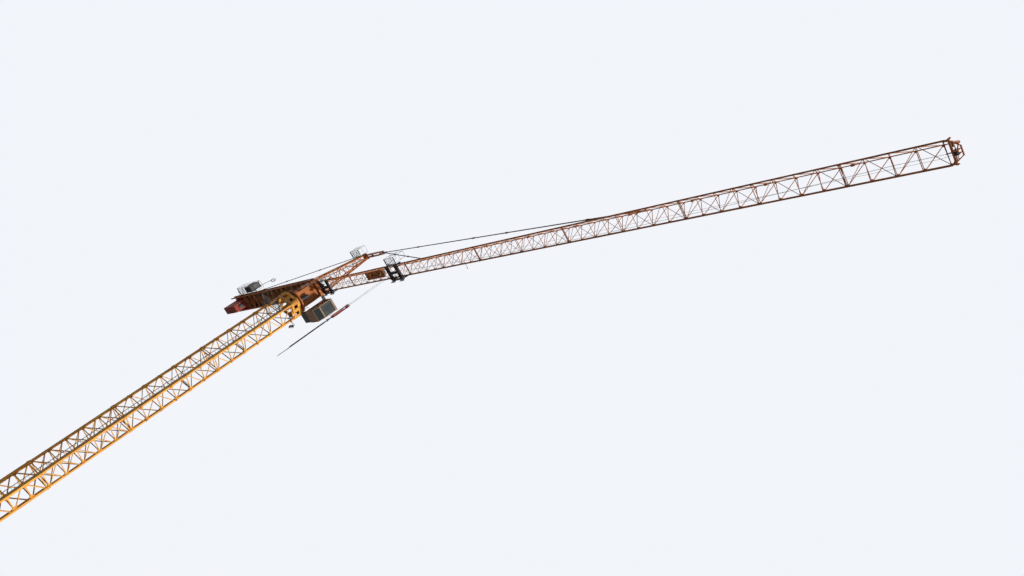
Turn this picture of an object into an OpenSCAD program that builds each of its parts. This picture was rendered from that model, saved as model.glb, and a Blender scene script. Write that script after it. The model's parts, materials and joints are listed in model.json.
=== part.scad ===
// Tower crane with a saddle jib, as a 1:10 scale model.
// Frame: origin on the underside of the crossed base, in the middle of the mast.
// +X runs along the jib at rest, +Y to the cab side, +Z up. All sizes in millimetres.

/* [Mast] */
// Spacing of the mast legs, centre to centre
mast_w = 175; // [150:1:200]
// Turn of the square mast about its own axis, measured from the jib
mast_turn = 36.3; // [20:0.1:60]
// Height of one bay of the mast
bay_h = 150; // [130:1:170]
// Height of one bay of the base tower
base_bay_h = 146; // [130:1:160]
// Width of a square mast leg
leg_w = 18; // [14:0.5:22]
// Width of a square leg of the base tower
base_leg_w = 22; // [18:0.5:26]
// Thickness of the mast bracing
brace_d = 7; // [5:0.5:9]
// Thickness of the bracing of the base tower
base_brace_d = 9; // [7:0.5:11]
// Distance from a splice to the middle of the bracing beside it
node_off = 10; // [8:0.5:14]
// Height of the crossed base beams
base_beam_h = 24; // [18:1:30]
// Width of the crossed base beams
base_beam_w = 30; // [24:1:34]
// Side of a square anchor plate
anchor_w = 66; // [60:1:76]
// Thickness of an anchor plate
anchor_t = 4; // [3:0.5:6]
// Distance of the anchor holes from the leg, along each side
anchor_hole_off = 25; // [23:0.5:27]
// Radius of an anchor hole
anchor_hole_r = 2.4; // [2:0.1:3]

/* [Ladder and platforms] */
// Distance between the ladder stiles
ladder_w = 40; // [34:1:50]
// Thickness of the ladder stiles
stile_d = 4; // [3:0.5:6]
// Spacing of the ladder rungs
rung_step = 30; // [28:1:36]
// Thickness of a landing plate
landing_t = 3; // [2:0.5:5]
// Depth of the service platform, out from the mast
platform_depth = 75; // [60:1:90]
// Height of the railings
rail_h = 105; // [95:1:120]
// Thickness of posts and rails
rail_d = 3.2; // [2.5:0.1:4]

/* [Slewing part] */
// Height of the fixed support under the slewing ring
support_h = 94; // [80:1:110]
// Outer radius of the slewing ring without its teeth
ring_r = 90; // [80:1:94]
// Height of the slewing ring
ring_h = 14; // [10:1:20]
// Number of teeth around the slewing ring
ring_teeth = 72; // [48:1:80]
// Running gap between the ring and the turntable
ring_gap = 1; // [0.5:0.1:2]
// Height from the ring gap to the level of the lower jib chords
turntable_h = 260; // [240:1:280]
// Inner distance between the side plates of the turntable
turntable_w = 144; // [130:1:150]
// Thickness of the turntable plates
plate_t = 6; // [4:0.5:8]

/* [Jib] */
// Spacing of the lower chords, centre to centre
jib_w = 114; // [100:1:126]
// Height of the upper chord above the lower ones
jib_h = 113; // [100:1:126]
// Length of one panel of the bracing
panel = 125; // [115:1:135]
// Panels in one bolted length of the jib
panels_per_length = 4; // [4:1:4]
// Distance from the mast axis to the jib pins
jib_x0 = 133; // [128:1:145]
// Width of a square jib chord
chord_w = 11; // [9:0.5:13]
// Thickness of the jib bracing
web_d = 5.5; // [4:0.5:6.5]
// Width of the runner flange outside each lower chord
runner_w = 7.5; // [6.5:0.5:9]
// Thickness of the runner flange
runner_t = 2; // [1.5:0.1:2.5]

/* [Tower head] */
// Height of the head above the lower jib chords
head_h = 600; // [540:1:660]
// Forward lean of the head at its top
head_lean = 120; // [90:1:140]
// Width of a leg of the head
head_leg_w = 11; // [9:0.5:14]
// Reach of the nose in front of the mast axis
nose_x = 500; // [440:1:540]
// Width of the pendant bars
pendant_w = 6; // [4:0.5:8]
// Radius of the pins of pendants and jib feet
pin_r = 3; // [2.5:0.1:3.5]

/* [Counter-jib] */
// Length of the counter-jib behind the mast axis
counter_len = 2214; // [2100:1:2300]
// Distance between the outer faces of the counter-jib beams
counter_w = 188; // [184:1:200]
// Width of a counter-jib beam
beam_w = 14; // [10:1:16]
// Height of a counter-jib beam
beam_h = 45; // [38:1:52]
// Spacing of the cross beams of the counter-jib
cross_step = 130; // [110:1:150]
// Length of the stack of counterweight blocks
weight_len = 330; // [280:1:360]
// Number of counterweight blocks in the stack
weight_count = 4; // [3:1:5]
// Height of a counterweight block
weight_h = 205; // [180:1:230]
// Width of a counterweight block
weight_w = 84; // [70:1:100]
// Width of the side platform beside the winch
side_platform_w = 92; // [80:1:100]

/* [Cab] */
// Length of the cab
cab_l = 200; // [180:1:220]
// Width of the cab
cab_w = 125; // [115:1:135]
// Height of the cab
cab_h = 220; // [200:1:230]
// Thickness of the cab walls
cab_t = 5; // [4:0.5:7]
// Distance from the middle of the mast to the near wall of the cab
cab_y = 130; // [126:1:140]

/* [Trolley and hook] */
// Place of the trolley along the jib at rest
trolley_x = 1593; // [1500:1:1700]
// Place of the second trolley, latched at the foot of the jib
parked_x = 285; // [275:1:300]
// Length of a trolley frame
trolley_l = 212; // [190:1:230]
// Radius of a trolley wheel
wheel_r = 8; // [6:0.5:9]
// Width of a trolley wheel
wheel_w = 5; // [4:0.5:6]
// Radius of the trolley sheaves
sheave_r = 18; // [15:0.5:20]
// Diameter of the hoist rope
rope_d = 2.4; // [1.5:0.1:3]
// Distance from the lower jib chords down to the top of the hook block
block_drop = 554; // [500:1:700]
// Height of the hook block
block_h = 189; // [160:1:200]
// Width of the hook block
block_w = 40; // [36:1:50]
// Length of the chain sling under the hook
sling_l = 390; // [300:1:420]

/* [Hidden] */

// Colours
mast_yellow = [0.85, 0.54, 0.12];
jib_orange = [0.72, 0.34, 0.12];
weight_red = [0.45, 0.17, 0.12];
dark_steel = [0.13, 0.14, 0.20];
rail_grey = [0.35, 0.36, 0.40];
glass_dark = [0.08, 0.13, 0.16];
cab_beige = [0.55, 0.44, 0.34];
block_red = [0.60, 0.12, 0.12];

// Clearance between pieces of one body that seat in each other
fit = 0.3;

// Mast levels
mast_r = mast_w / sqrt(2);
base_bays = 6;
reinforced_bays = 5;
standard_bays = 6;
z_base = base_beam_h;
z_reinforced = z_base + base_bays * base_bay_h;
z_lower = z_reinforced + reinforced_bays * bay_h;
z_upper = z_lower + standard_bays * bay_h;
z_mast_top = z_upper + standard_bays * bay_h;
z_ring = z_mast_top + support_h;
z_turn = z_ring + ring_h + ring_gap;
zj = z_turn + turntable_h;

// Trolley heights, measured from the middle of the lower jib chords
cross_z0 = -44;
cross_z1 = -32;
cheek_y0 = jib_w / 2 + chord_w / 2 + runner_w + 1.5;
cheek_t = 4;
axle_z = -chord_w / 2 + runner_t + wheel_r + fit;
wheel_y = jib_w / 2 + chord_w / 2 + runner_w / 2 + 0.6;
wheel_dx = trolley_l / 2 - 14;
sheave_z = cross_z1 + 4;
sheave_dx = 23;
rope_z = sheave_z + sheave_r + rope_d / 2 + fit;

// Place of leg i of the mast: 0 is nearest to the jib, then anticlockwise from above
function leg_xy(i, z) = [
    mast_r * cos(mast_turn - 45 + 90 * i), mast_r * sin(mast_turn - 45 + 90 * i), z
];

// Straight bar between two points, with its width across flats
module bar(a, b, d, sides = 4) {
    v = b - a;
    length = norm(v);
    translate(a)
        rotate([0, acos(v[2] / length), atan2(v[1], v[0])])
            rotate([0, 0, sides == 4 ? 45 : 0])
                cylinder(h = length, r = d / 2 / cos(180 / sides), $fn = sides);
}

// Row of bars through a list of points
module bars(points, d, sides = 4) {
    for (i = [0 : len(points) - 2])
        bar(points[i], points[i + 1], d, sides);
}

// Box given by its lowest corner and its highest corner
module block(low, high) {
    translate(low)
        cube(high - low);
}

// Round rod along Y
module rod_y(x, y0, y1, z, r, turn = 0) {
    translate([x, y0, z])
        rotate([-90, turn, 0])
            cylinder(h = y1 - y0, r = r, $fn = 24);
}

// Upright square post on the mast grid
module post(i, z0, z1, w) {
    translate(leg_xy(i, z0))
        rotate([0, 0, mast_turn])
            translate([-w / 2, -w / 2, 0])
                cube([w, w, z1 - z0]);
}

// One face bar of the mast from leg i to leg j
module face_bar(i, zi, j, zj_end, d) {
    bar(leg_xy(i, zi), leg_xy(j, zj_end), d);
}

// Length of mast: legs, splice collars, level bars and diagonals.
// style 1 is a single zigzag, style 2 crosses every bay; odd_start sets where the zigzag begins.
module mast_length(z0, bays, bay, leg, brace, style, odd_start, splice_every) {
    z1 = z0 + bays * bay;
    for (i = [0 : 3]) {
        post(i, z0, z1, leg);
        for (k = [0 : splice_every : bays]) {
            post(i, max(z0, z0 + k * bay - 14), min(z1, z0 + k * bay + 14), leg + 5);
        }
        for (k = [0 : bays]) {
            z = z0 + k * bay + (k == bays ? -node_off : node_off);
            face_bar(i, z, i + 1, z, brace);
        }
        for (k = [0 : bays - 1]) {
            za = z0 + k * bay + node_off + 5;
            zb = z0 + (k + 1) * bay - node_off - 5;
            up = (k + odd_start) % 2 == 1;
            if (style == 2 || up)
                face_bar(i, za, i + 1, zb, brace - 0.8);
            if (style == 2 || !up)
                face_bar(i + 1, za, i, zb, brace - 1.4);
        }
    }
}

module base_cross() {
    reach = mast_r + anchor_w / 2;
    color(mast_yellow)
        difference() {
            for (i = [0 : 3])
                rotate([0, 0, mast_turn - 45 + 90 * i]) {
                    block([0, -base_beam_w / 2, 0], [reach, base_beam_w / 2, base_beam_h]);
                    block([reach - anchor_w, -anchor_w / 2, 0], [reach, anchor_w / 2, anchor_t]);
                }
            for (i = [0 : 3])
                rotate([0, 0, mast_turn - 45 + 90 * i])
                    for (sx = [-1, 1])
                        for (sy = [-1, 1])
                            translate([mast_r + sx * anchor_hole_off, sy * anchor_hole_off, -1])
                                cylinder(h = anchor_t + 2, r = anchor_hole_r, $fn = 24);
        }
}

module base_mast() {
    color(mast_yellow)
        mast_length(z_base, base_bays, base_bay_h, base_leg_w, base_brace_d, 1, 0, base_bays);
}

module reinforced_mast() {
    color(mast_yellow)
        mast_length(z_reinforced, reinforced_bays, bay_h, leg_w, brace_d, 2, 1, reinforced_bays);
}

module standard_mast_lower() {
    color(mast_yellow)
        mast_length(z_lower, standard_bays, bay_h, leg_w, brace_d, 1, 1, 2);
}

module standard_mast_upper() {
    color(mast_yellow)
        mast_length(z_upper, standard_bays, bay_h, leg_w, brace_d, 1, 1, 2);
}

// Ladder inside the mast, against the face that looks away from the jib
ladder_off = 42;
bracket_levels = concat(
    [for (k = [1 : 2 : 4]) z_reinforced + k * bay_h + node_off],
    [z_lower + 2 * bay_h + node_off, z_upper + node_off, z_upper + 4 * bay_h + node_off]
);
module mast_ladder() {
    z0 = z_base + 6;
    z1 = z_mast_top - 6;
    color(rail_grey)
        rotate([0, 0, mast_turn + 180])
            translate([ladder_off, 0, 0]) {
                for (s = [-1, 1])
                    bar([0, s * ladder_w / 2, z0], [0, s * ladder_w / 2, z1], stile_d);
                for (z = [z0 + rung_step : rung_step : z1 - rung_step / 2])
                    bar([0, -ladder_w / 2, z], [0, ladder_w / 2, z], 2.4);
                // brackets to the level bars of the face behind the ladder
                for (z = bracket_levels)
                    for (s = [-1, 1])
                        bar([0, s * ladder_w / 2, z], [mast_w / 2 - brace_d / 2 - fit - ladder_off, s * ladder_w / 2, z], 3);
            }
}

// Rest landings inside the mast, each with a hatch around the ladder
landing_levels = [
    z_reinforced + node_off, z_lower + node_off, z_lower + 4 * bay_h + node_off,
    z_upper + 2 * bay_h + node_off
];
module mast_landings() {
    half = mast_w / 2 - brace_d / 2;
    color(rail_grey)
        for (z = landing_levels)
            translate([0, 0, z - landing_t / 2])
                rotate([0, 0, mast_turn])
                    linear_extrude(landing_t)
                        difference() {
                            square(2 * half, center = true);
                            for (sx = [-1, 1])
                                for (sy = [-1, 1])
                                    translate([sx * half, sy * half])
                                        square(leg_w + 10, center = true);
                            translate([-ladder_off - 14, -ladder_w / 2 - 6])
                                square([42, ladder_w + 12]);
                        }
}

// Railing along a list of points: posts, a top rail and a knee rail
module railing(points, z, h) {
    for (p = points)
        bar([p[0], p[1], z], [p[0], p[1], z + h], rail_d);
    for (level = [h - rail_d / 2, h * 0.52])
        bars([for (p = points) [p[0], p[1], z + level]], rail_d * 0.8);
}

// Platform outside the two mast faces that look away from the jib and from the cab
platform_level = z_mast_top - 130;
module service_platform() {
    inner = mast_w / 2 + leg_w / 2 + 3.5;
    outer = inner + platform_depth;
    leg_face = mast_w / 2 + leg_w / 2 + fit;
    color(rail_grey)
        rotate([0, 0, mast_turn + 180]) {
            difference() {
                block([-inner, -inner, platform_level], [outer, outer, platform_level + 4]);
                block([-inner - 1, -inner - 1, platform_level - 1], [inner, inner, platform_level + 5]);
            }
            corner = outer - rail_d;
            low = -inner + rail_d;
            railing([[corner, low], [corner, 0], [corner, corner], [0, corner], [low, corner]],
                platform_level + 4, rail_h);
            // beams and struts under the deck, each against a leg
            for (y = [-inner + 12, inner - 12]) {
                block([leg_face, y - 3, platform_level - 6], [outer - 4, y + 3, platform_level]);
                block([y - 3, leg_face, platform_level - 6], [y + 3, outer - 4, platform_level]);
            }
            for (y = [-inner + 12, inner - 12])
                bars([[inner + 0.5, y, platform_level - 60], [outer - 8, y, platform_level + 1]], 5);
            for (x = [-inner + 12, inner - 12])
                bars([[x, inner + 0.5, platform_level - 60], [x, outer - 8, platform_level + 1]], 5);
        }
}

// Lamp on a bracket outside the mast leg on the cab side
lamp_z = z_mast_top - 70;
module mast_floodlight() {
    r0 = mast_r + leg_w / 2 * sqrt(2) + fit;
    color(dark_steel)
        rotate([0, 0, mast_turn + 45]) {
            bar([r0, 0, lamp_z], [r0 + 54, 0, lamp_z], 4);
            bar([r0 + 51, 0, lamp_z + 1.4], [r0 + 51, 0, lamp_z - 26], 5);
            block([r0 + 40, -16, lamp_z - 52], [r0 + 64, 16, lamp_z - 24]);
            block([r0 + 18, -9, lamp_z + 1], [r0 + 40, 9, lamp_z + 20]);
        }
}

module slewing_support() {
    outer = mast_w + leg_w + 6;
    inner = outer - 2 * plate_t;
    color(mast_yellow)
        translate([0, 0, z_mast_top])
            rotate([0, 0, mast_turn]) {
                difference() {
                    translate([-outer / 2, -outer / 2, 0])
                        cube([outer, outer, support_h - 10]);
                    translate([-inner / 2, -inner / 2, -1])
                        cube([inner, inner, support_h]);
                    for (a = [0, 90])
                        rotate([0, 0, a])
                            for (s = [-1, 1])
                                translate([-outer, s * 42 - 22, 20])
                                    cube([2 * outer, 44, 42]);
                }
                translate([0, 0, support_h - 10])
                    difference() {
                        intersection() {
                            translate([-outer / 2, -outer / 2, 0])
                                cube([outer, outer, 10]);
                            cylinder(h = 10, r = outer / 2 + 20, $fn = 48);
                        }
                        translate([0, 0, -1])
                            cylinder(h = 12, r = ring_r - 26, $fn = 48);
                    }
            }
}

// Toothed ring on which the upper part turns
module slew_ring() {
    tooth_w = PI * ring_r / ring_teeth;
    color(dark_steel)
        translate([0, 0, z_ring])
            linear_extrude(ring_h)
                difference() {
                    union() {
                        circle(r = ring_r, $fn = 72);
                        for (i = [0 : ring_teeth - 1])
                            rotate(i * 360 / ring_teeth)
                                polygon([
                                    [ring_r - 1, -tooth_w * 0.6], [ring_r + 4, -tooth_w * 0.28],
                                    [ring_r + 4, tooth_w * 0.28], [ring_r - 1, tooth_w * 0.6]
                                ]);
                    }
                    circle(r = ring_r - 22, $fn = 72);
                }
}

// Places of the slewing part, measured from its lower face z_turn
side_y0 = turntable_w / 2;
side_y1 = side_y0 + plate_t;
table_t = 10;
table_top = zj + beam_h + 6;
table_x = 112;
fork_t = 4;
beam_y0 = counter_w / 2 - beam_w;
counter_pins = [-88, -36];

module turntable() {
    color(jib_orange) {
        difference() {
            union() {
                // round table plate over the ring
                translate([0, 0, z_turn])
                    cylinder(h = table_t, r = ring_r + 36, $fn = 72);
                // two deep side plates
                for (s = [-1, 1])
                    translate([0, s > 0 ? side_y1 : -side_y0, 0])
                        rotate([90, 0, 0])
                            linear_extrude(plate_t)
                                polygon([
                                    [-82, z_turn + table_t - 1], [82, z_turn + table_t - 1],
                                    [table_x, zj - 90], [table_x, zj + 24], [90, table_top],
                                    [-table_x, table_top], [-table_x, zj - 90]
                                ]);
                // cross plates fore and aft
                for (x = [-82, 82 - plate_t])
                    block([x, -side_y0 - 1, z_turn + table_t - 1], [x + plate_t, side_y0 + 1, zj - 20]);
                // front plate that carries the jib forks
                block([table_x - plate_t, -side_y0 - 1, zj - 40], [table_x, side_y0 + 1, zj + 22]);
                // forks for the jib feet
                for (s = [-1, 1])
                    for (f = [-1, 1])
                        translate([0, s * jib_w / 2 + f * (chord_w / 2 + fit + fork_t / 2), 0])
                            block([table_x - 1, -fork_t / 2, zj - 9], [jib_x0 + 8, fork_t / 2, zj + 9]);
            }
            // opening in the round table
            translate([0, 0, z_turn - 1])
                cylinder(h = table_t + 2, r = ring_r - 30, $fn = 48);
            // lightening holes
            rod_y(0, -side_y1 - 1, side_y1 + 1, z_turn + 96, 34);
            rod_y(-62, -side_y1 - 1, side_y1 + 1, zj - 60, 18);
            rod_y(62, -side_y1 - 1, side_y1 + 1, zj - 60, 18);
            // holes for the counter-jib pins and the jib pins
            for (x = counter_pins)
                rod_y(x, -side_y1 - 1, side_y1 + 1, zj + beam_h / 2, 5 + fit);
            rod_y(jib_x0, -side_y1 - 1, side_y1 + 1, zj, pin_r + 1 + fit);
        }
    }
}

// Two upright geared motors that drive the ring
drive_r = 106;
module slew_drives() {
    color(dark_steel)
        for (a = [0, 180])
            rotate([0, 0, a])
                translate([drive_r + 2, 0, 0]) {
                    translate([0, 0, z_turn + table_t])
                        cylinder(h = 12, r = 17, $fn = 32);
                    translate([0, 0, z_turn + table_t + 12])
                        cylinder(h = 34, r = 12, $fn = 32);
                    translate([0, 0, z_turn + table_t + 46])
                        cylinder(h = 40, r = 15, $fn = 32);
                }
}

// Tower head: four legs from the side plates to the top
head_z0 = table_top;
head_z1 = zj + head_h;
head_foot = [[-75, 1], [75, 1], [75, -1], [-75, -1]];
head_top_w = 22;
head_top_l = 30;
function head_pt(i, t) = [
    head_foot[i % 4][0] * (1 - t) + (head_lean + (head_foot[i % 4][0] > 0 ? head_top_l : -head_top_l)) * t,
    head_foot[i % 4][1] * ((side_y0 + plate_t / 2) * (1 - t) + head_top_w * t),
    head_z0 + (head_z1 - head_z0) * t
];
head_levels = [0.02, 0.2, 0.38, 0.56, 0.76, 0.985];
module tower_head() {
    color(jib_orange) {
        for (i = [0 : 3]) {
            bar(head_pt(i, 0.008), head_pt(i, 0.995), head_leg_w);
            translate([head_foot[i][0] - 12, head_foot[i][1] * (side_y0 + plate_t / 2) - 9, head_z0])
                cube([24, 18, 5]);
        }
        for (k = [0 : len(head_levels) - 1])
            for (i = [0 : 3]) {
                if (k > 0)
                    bar(head_pt(i, head_levels[k]), head_pt(i + 1, head_levels[k]), web_d);
                if (k < len(head_levels) - 1) {
                    if ((i + k) % 2 == 0)
                        bar(head_pt(i, head_levels[k]), head_pt(i + 1, head_levels[k + 1]), web_d);
                    else
                        bar(head_pt(i + 1, head_levels[k]), head_pt(i, head_levels[k + 1]), web_d);
                }
            }
    }
}

// Nose: two tapered plates that reach forward and carry the pendant pins and the rope sheave
nose_y = 11;
nose_t = 4;
nose_z = zj + head_h - 10;
module head_nose() {
    z0 = head_z1 + 4;
    color(jib_orange) {
        difference() {
            for (s = [-1, 1])
                translate([0, s > 0 ? nose_y + nose_t : -nose_y, 0])
                    rotate([90, 0, 0])
                        linear_extrude(nose_t)
                            polygon([
                                [head_lean - 42, z0], [head_lean + 44, z0], [head_lean + 80, z0 - 26],
                                [nose_x - 60, nose_z - 16], [nose_x + 12, nose_z - 12],
                                [nose_x + 12, nose_z + 12], [nose_x - 60, nose_z + 20],
                                [head_lean + 40, z0 + 26], [head_lean - 42, z0 + 26]
                            ]);
            rod_y(nose_x, -nose_y - nose_t - 1, nose_y + nose_t + 1, nose_z, pin_r + fit);
        }
        for (x = [head_lean - 36, head_lean + 20, head_lean + 130, nose_x - 90])
            block([x, -nose_y - 1, z0 - (x > head_lean + 100 ? 8 : 0)], [x + 5, nose_y + 1, z0 + 12]);
        // base plate on the legs
        block([head_lean - 46, -34, head_z1], [head_lean + 46, 34, z0 + 0.01]);
    }
    color(dark_steel)
        rod_y(nose_x - 30, -4, 4, nose_z + 14, 14);
    color(dark_steel)
        rod_y(nose_x - 30, -nose_y - 1, nose_y + 1, nose_z + 14, pin_r);
}

// Small platform with a railing beside the top of the head
head_deck_z = head_z1 - 70;
module head_platform() {
    t = (head_deck_z - head_z0) / (head_z1 - head_z0);
    x0 = head_pt(0, t)[0] - 70;
    x1 = head_pt(1, t)[0] + 20;
    y0 = -(head_pt(0, t)[1] + head_leg_w / 2 + 3.2);
    y1 = y0 - 75;
    color(rail_grey) {
        block([x0, y1, head_deck_z], [x1, y0, head_deck_z + 3]);
        railing([[x0 + 2, y0 - 2], [x0 + 2, y1 + 2], [(x0 + x1) / 2, y1 + 2], [x1 - 2, y1 + 2], [x1 - 2, y0 - 2]],
            head_deck_z + 3, rail_h * 0.95);
    }
}

// Panel points of the jib
function low_pt(i, side) = [jib_x0 + i * panel, side * jib_w / 2, zj];
function top_pt(i) = [jib_x0 + i * panel, 0, zj + jib_h];
shift = [6.5, 0, 0];

// Jib between two panel points, with its three chords and its bracing
module jib_run(first, last) {
    for (side = [-1, 1]) {
        bar(low_pt(first, side), low_pt(last, side), chord_w);
        y = side * (jib_w / 2 + chord_w / 2 + runner_w / 2 - 0.25);
        block([low_pt(first, 1)[0], y - runner_w / 2 - 0.25, zj - chord_w / 2],
            [low_pt(last, 1)[0], y + runner_w / 2 + 0.25, zj - chord_w / 2 + runner_t]);
    }
    for (i = [first : last - 1]) {
        for (side = [-1, 1]) {
            bar(low_pt(i, side) + shift, top_pt(i + 0.5), web_d);
            bar(top_pt(i + 0.5), low_pt(i + 1, side) - shift, web_d);
        }
        side = i % 2 == 0 ? -1 : 1;
        bar(low_pt(i, side) + shift, low_pt(i + 1, -side) - shift, web_d - 0.9);
    }
}

// Collars and level bars at a joint between jib lengths, on the side dir of panel point i
module jib_joint(i, dir) {
    x = low_pt(i, 1)[0];
    xa = dir > 0 ? x : x - 10;
    for (side = [-1, 1])
        block([xa, side * jib_w / 2 - chord_w / 2 - 1, zj - chord_w / 2 - 1],
            [xa + 10, side * jib_w / 2 + chord_w / 2 + 1, zj + chord_w / 2 + 1]);
    bar(low_pt(i, -1) + dir * shift * 1.1, low_pt(i, 1) + dir * shift * 1.1, web_d);
    block([xa, -chord_w / 2 - 2, zj + jib_h - chord_w / 2 - 2], [xa + 10, chord_w / 2 + 2, zj + jib_h + chord_w / 2 + 2]);
}

// Pair of lengths that bolt together, number n counts from 1 at the foot
module jib_length(n) {
    first = 1 + (n - 1) * 2 * panels_per_length;
    mid = first + panels_per_length;
    last = mid + panels_per_length;
    color(jib_orange) {
        jib_run(first, last);
        bar(top_pt(first), top_pt(last), chord_w - 1);
        jib_joint(first, 1);
        jib_joint(mid, -1);
        jib_joint(mid, 1);
        jib_joint(last, -1);
    }
}

// Lug on the upper chord that holds the foot of a pendant
lug_h = 16;
module pendant_lug(x) {
    z = zj + jib_h + chord_w / 2;
    difference() {
        block([x - 14, -3, z - 2], [x + 14, 3, z + lug_h]);
        rod_y(x, -4, 4, z + lug_h - 7, pin_r + fit);
    }
}

module jib_root() {
    color(jib_orange)
        difference() {
            union() {
                for (side = [-1, 1]) {
                    bar(low_pt(0, side), low_pt(1, side), chord_w);
                    rod_y(jib_x0, side * jib_w / 2 - chord_w / 2 + 0.5, side * jib_w / 2 + chord_w / 2 - 0.5,
                        zj, 8, 180);
                    bar(low_pt(0, side) + [12, 0, 0], top_pt(0.5), web_d + 1);
                    bar(top_pt(0.5), low_pt(1, side) - shift, web_d);
                    y = side * (jib_w / 2 + chord_w / 2 + runner_w / 2 - 0.25);
                    block([jib_x0 + 14, y - runner_w / 2 - 0.25, zj - chord_w / 2],
                        [low_pt(1, 1)[0], y + runner_w / 2 + 0.25, zj - chord_w / 2 + runner_t]);
                }
                bar(top_pt(0.5) - [8, 0, 0], top_pt(1), chord_w - 1);
                bar(low_pt(0, -1) + [20, 0, 0], low_pt(0, 1) + [20, 0, 0], web_d);
                bar(low_pt(0, -1) + [24, 0, 0], low_pt(1, 1) - shift * 1.6, web_d - 0.9);
                jib_joint(1, -1);
            }
            rod_y(jib_x0, -jib_w, jib_w, zj, pin_r + 1 + fit, 180);
        }
    color(dark_steel)
        for (side = [-1, 1])
            rod_y(jib_x0, side * jib_w / 2 - 12, side * jib_w / 2 + 12, zj, pin_r + 1);
}

// Panel points at which the pendants hold the jib
inner_x = jib_x0 + 14 * panel;
outer_x = jib_x0 + 29 * panel + 20;
lug_pin_z = zj + jib_h + chord_w / 2 + lug_h - 7;

module jib_length_1() { jib_length(1); }
module jib_length_2() {
    jib_length(2);
    color(jib_orange)
        pendant_lug(inner_x);
}
module jib_length_3() { jib_length(3); }
module jib_length_4() {
    jib_length(4);
    color(jib_orange)
        pendant_lug(outer_x);
}
module jib_length_5() { jib_length(5); }
module jib_length_6() { jib_length(6); }

// End frame with the anchor bar and the rope sheave
tip_x = jib_x0 + (1 + 12 * panels_per_length) * panel;
tip_sheave_r = 13;
tip_sheave_z = zj + rope_z - rope_d / 2 - fit - tip_sheave_r;
module jib_tip() {
    color(jib_orange) {
        for (side = [-1, 1]) {
            bar([tip_x, side * jib_w / 2, zj], [tip_x + 20, side * jib_w / 2, zj], chord_w);
            bars([[tip_x + 4, side * jib_w / 2, zj], [tip_x + 4, 0, zj + jib_h]], web_d + 1.5);
            bars([[tip_x + 16, side * 52, zj], [tip_x + 92, side * 22, zj]], 8);
            block([tip_x + 40, side * 9 - 2, zj - 34], [tip_x + 78, side * 9 + 2, zj + 6]);
        }
        bar([tip_x + 16, -65, zj + 2], [tip_x + 16, 65, zj + 2], 13);
        bar([tip_x + 90, -26, zj], [tip_x + 90, 26, zj], 8);
        bar([tip_x + 40, -42, zj], [tip_x + 40, 42, zj], 6);
        bar([tip_x, 0, zj + jib_h], [tip_x + 10, 0, zj + jib_h], chord_w - 1);
    }
    color(dark_steel)
        rod_y(tip_x + 59, -6, 6, tip_sheave_z, tip_sheave_r);
    color(dark_steel)
        rod_y(tip_x + 59, -7.5, 7.5, tip_sheave_z, 3);
}

module inner_pendant() {
    color(dark_steel) {
        pendant_pair(inner_x, [0.03, 0.55, 0.96], 1);
    }
}

module outer_pendant() {
    color(dark_steel) {
        pendant_pair(outer_x, [0.22, 0.55, 0.7, 0.9, 0.975], 2);
        rod_y(nose_x, -nose_y - nose_t - 4, nose_y + nose_t + 4, nose_z, pin_r);
    }
}

// Twin flat bars of one pendant, side by side, one pair inside the other on the nose pin
module pendant_pair(x1, shares, place) {
    y_nose = place == 1 ? 3.2 : 8;
    a = [nose_x, 0, nose_z];
    b = [x1, 0, lug_pin_z];
    dir = (b - a) / norm(b - a);
    for (s = [-1, 1]) {
        p = a + [0, s * y_nose, 0];
        q = b + [0, s * 5, 0];
        difference() {
            union() {
                bar(p + dir * 2, q - dir * 2, 2.8);
                rod_y(a[0], p[1] - 1.6, p[1] + 1.6, a[2], 6, 90);
                rod_y(b[0], q[1] - 1.6, q[1] + 1.6, b[2], 6, 90);
            }
            if (place == 1)
                rod_y(a[0], -30, 30, a[2], pin_r + fit);
        }
    }
    rod_y(b[0], -9, 9, b[2], pin_r);
    for (t = shares) {
        c = a * (1 - t) + b * t;
        w = 2 * (y_nose * (1 - t) + 5 * t) + 5;
        translate(c)
            rotate([0, -atan2(dir[2], dir[0]), 0])
                cube([30, w, 9], center = true);
    }
}

// Counter-jib: two deep beams with cross beams and diagonals
counter_x1 = -24;
weight_x1 = -counter_len + weight_len + 6;
function cross_x(i) = counter_x1 - 110 - i * cross_step;
cross_count = floor((-weight_x1 + counter_x1 - 130) / cross_step);
module counter_jib() {
    y_in = beam_y0;
    color(jib_orange) {
        difference() {
            for (s = [-1, 1])
                block([-counter_len, s > 0 ? beam_y0 : -beam_y0 - beam_w, zj],
                    [counter_x1, s > 0 ? beam_y0 + beam_w : -beam_y0, zj + beam_h]);
            // channel section: hollow on the outer side
            for (s = [-1, 1])
                translate([0, s * (beam_y0 + beam_w), 0])
                    block([-counter_len - 1, -beam_w + 4, zj + 5], [counter_x1 - 100, beam_w - 4, zj + beam_h - 5]);
        }
        for (i = [0 : cross_count]) {
            x = cross_x(i);
            block([x - 5, -y_in - 1, zj + 4], [x + 5, y_in + 1, zj + 30]);
            if (i < cross_count) {
                s = i % 2 == 0 ? 1 : -1;
                bar([x, s * (y_in + 1), zj + 10], [x - cross_step, -s * (y_in + 1), zj + 10], 7);
            }
        }
        block([weight_x1 + 6, -y_in - 1, zj + 4], [weight_x1 + 14, y_in + 1, zj + beam_h - 4]);
    }
    // pins through the side plates of the turntable
    color(dark_steel)
        for (s = [-1, 1])
            for (x = counter_pins)
                rod_y(x, s > 0 ? side_y0 - 5 : -beam_y0 - 2, s > 0 ? beam_y0 + 2 : -side_y0 + 5, zj + beam_h / 2, 5);
}

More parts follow.
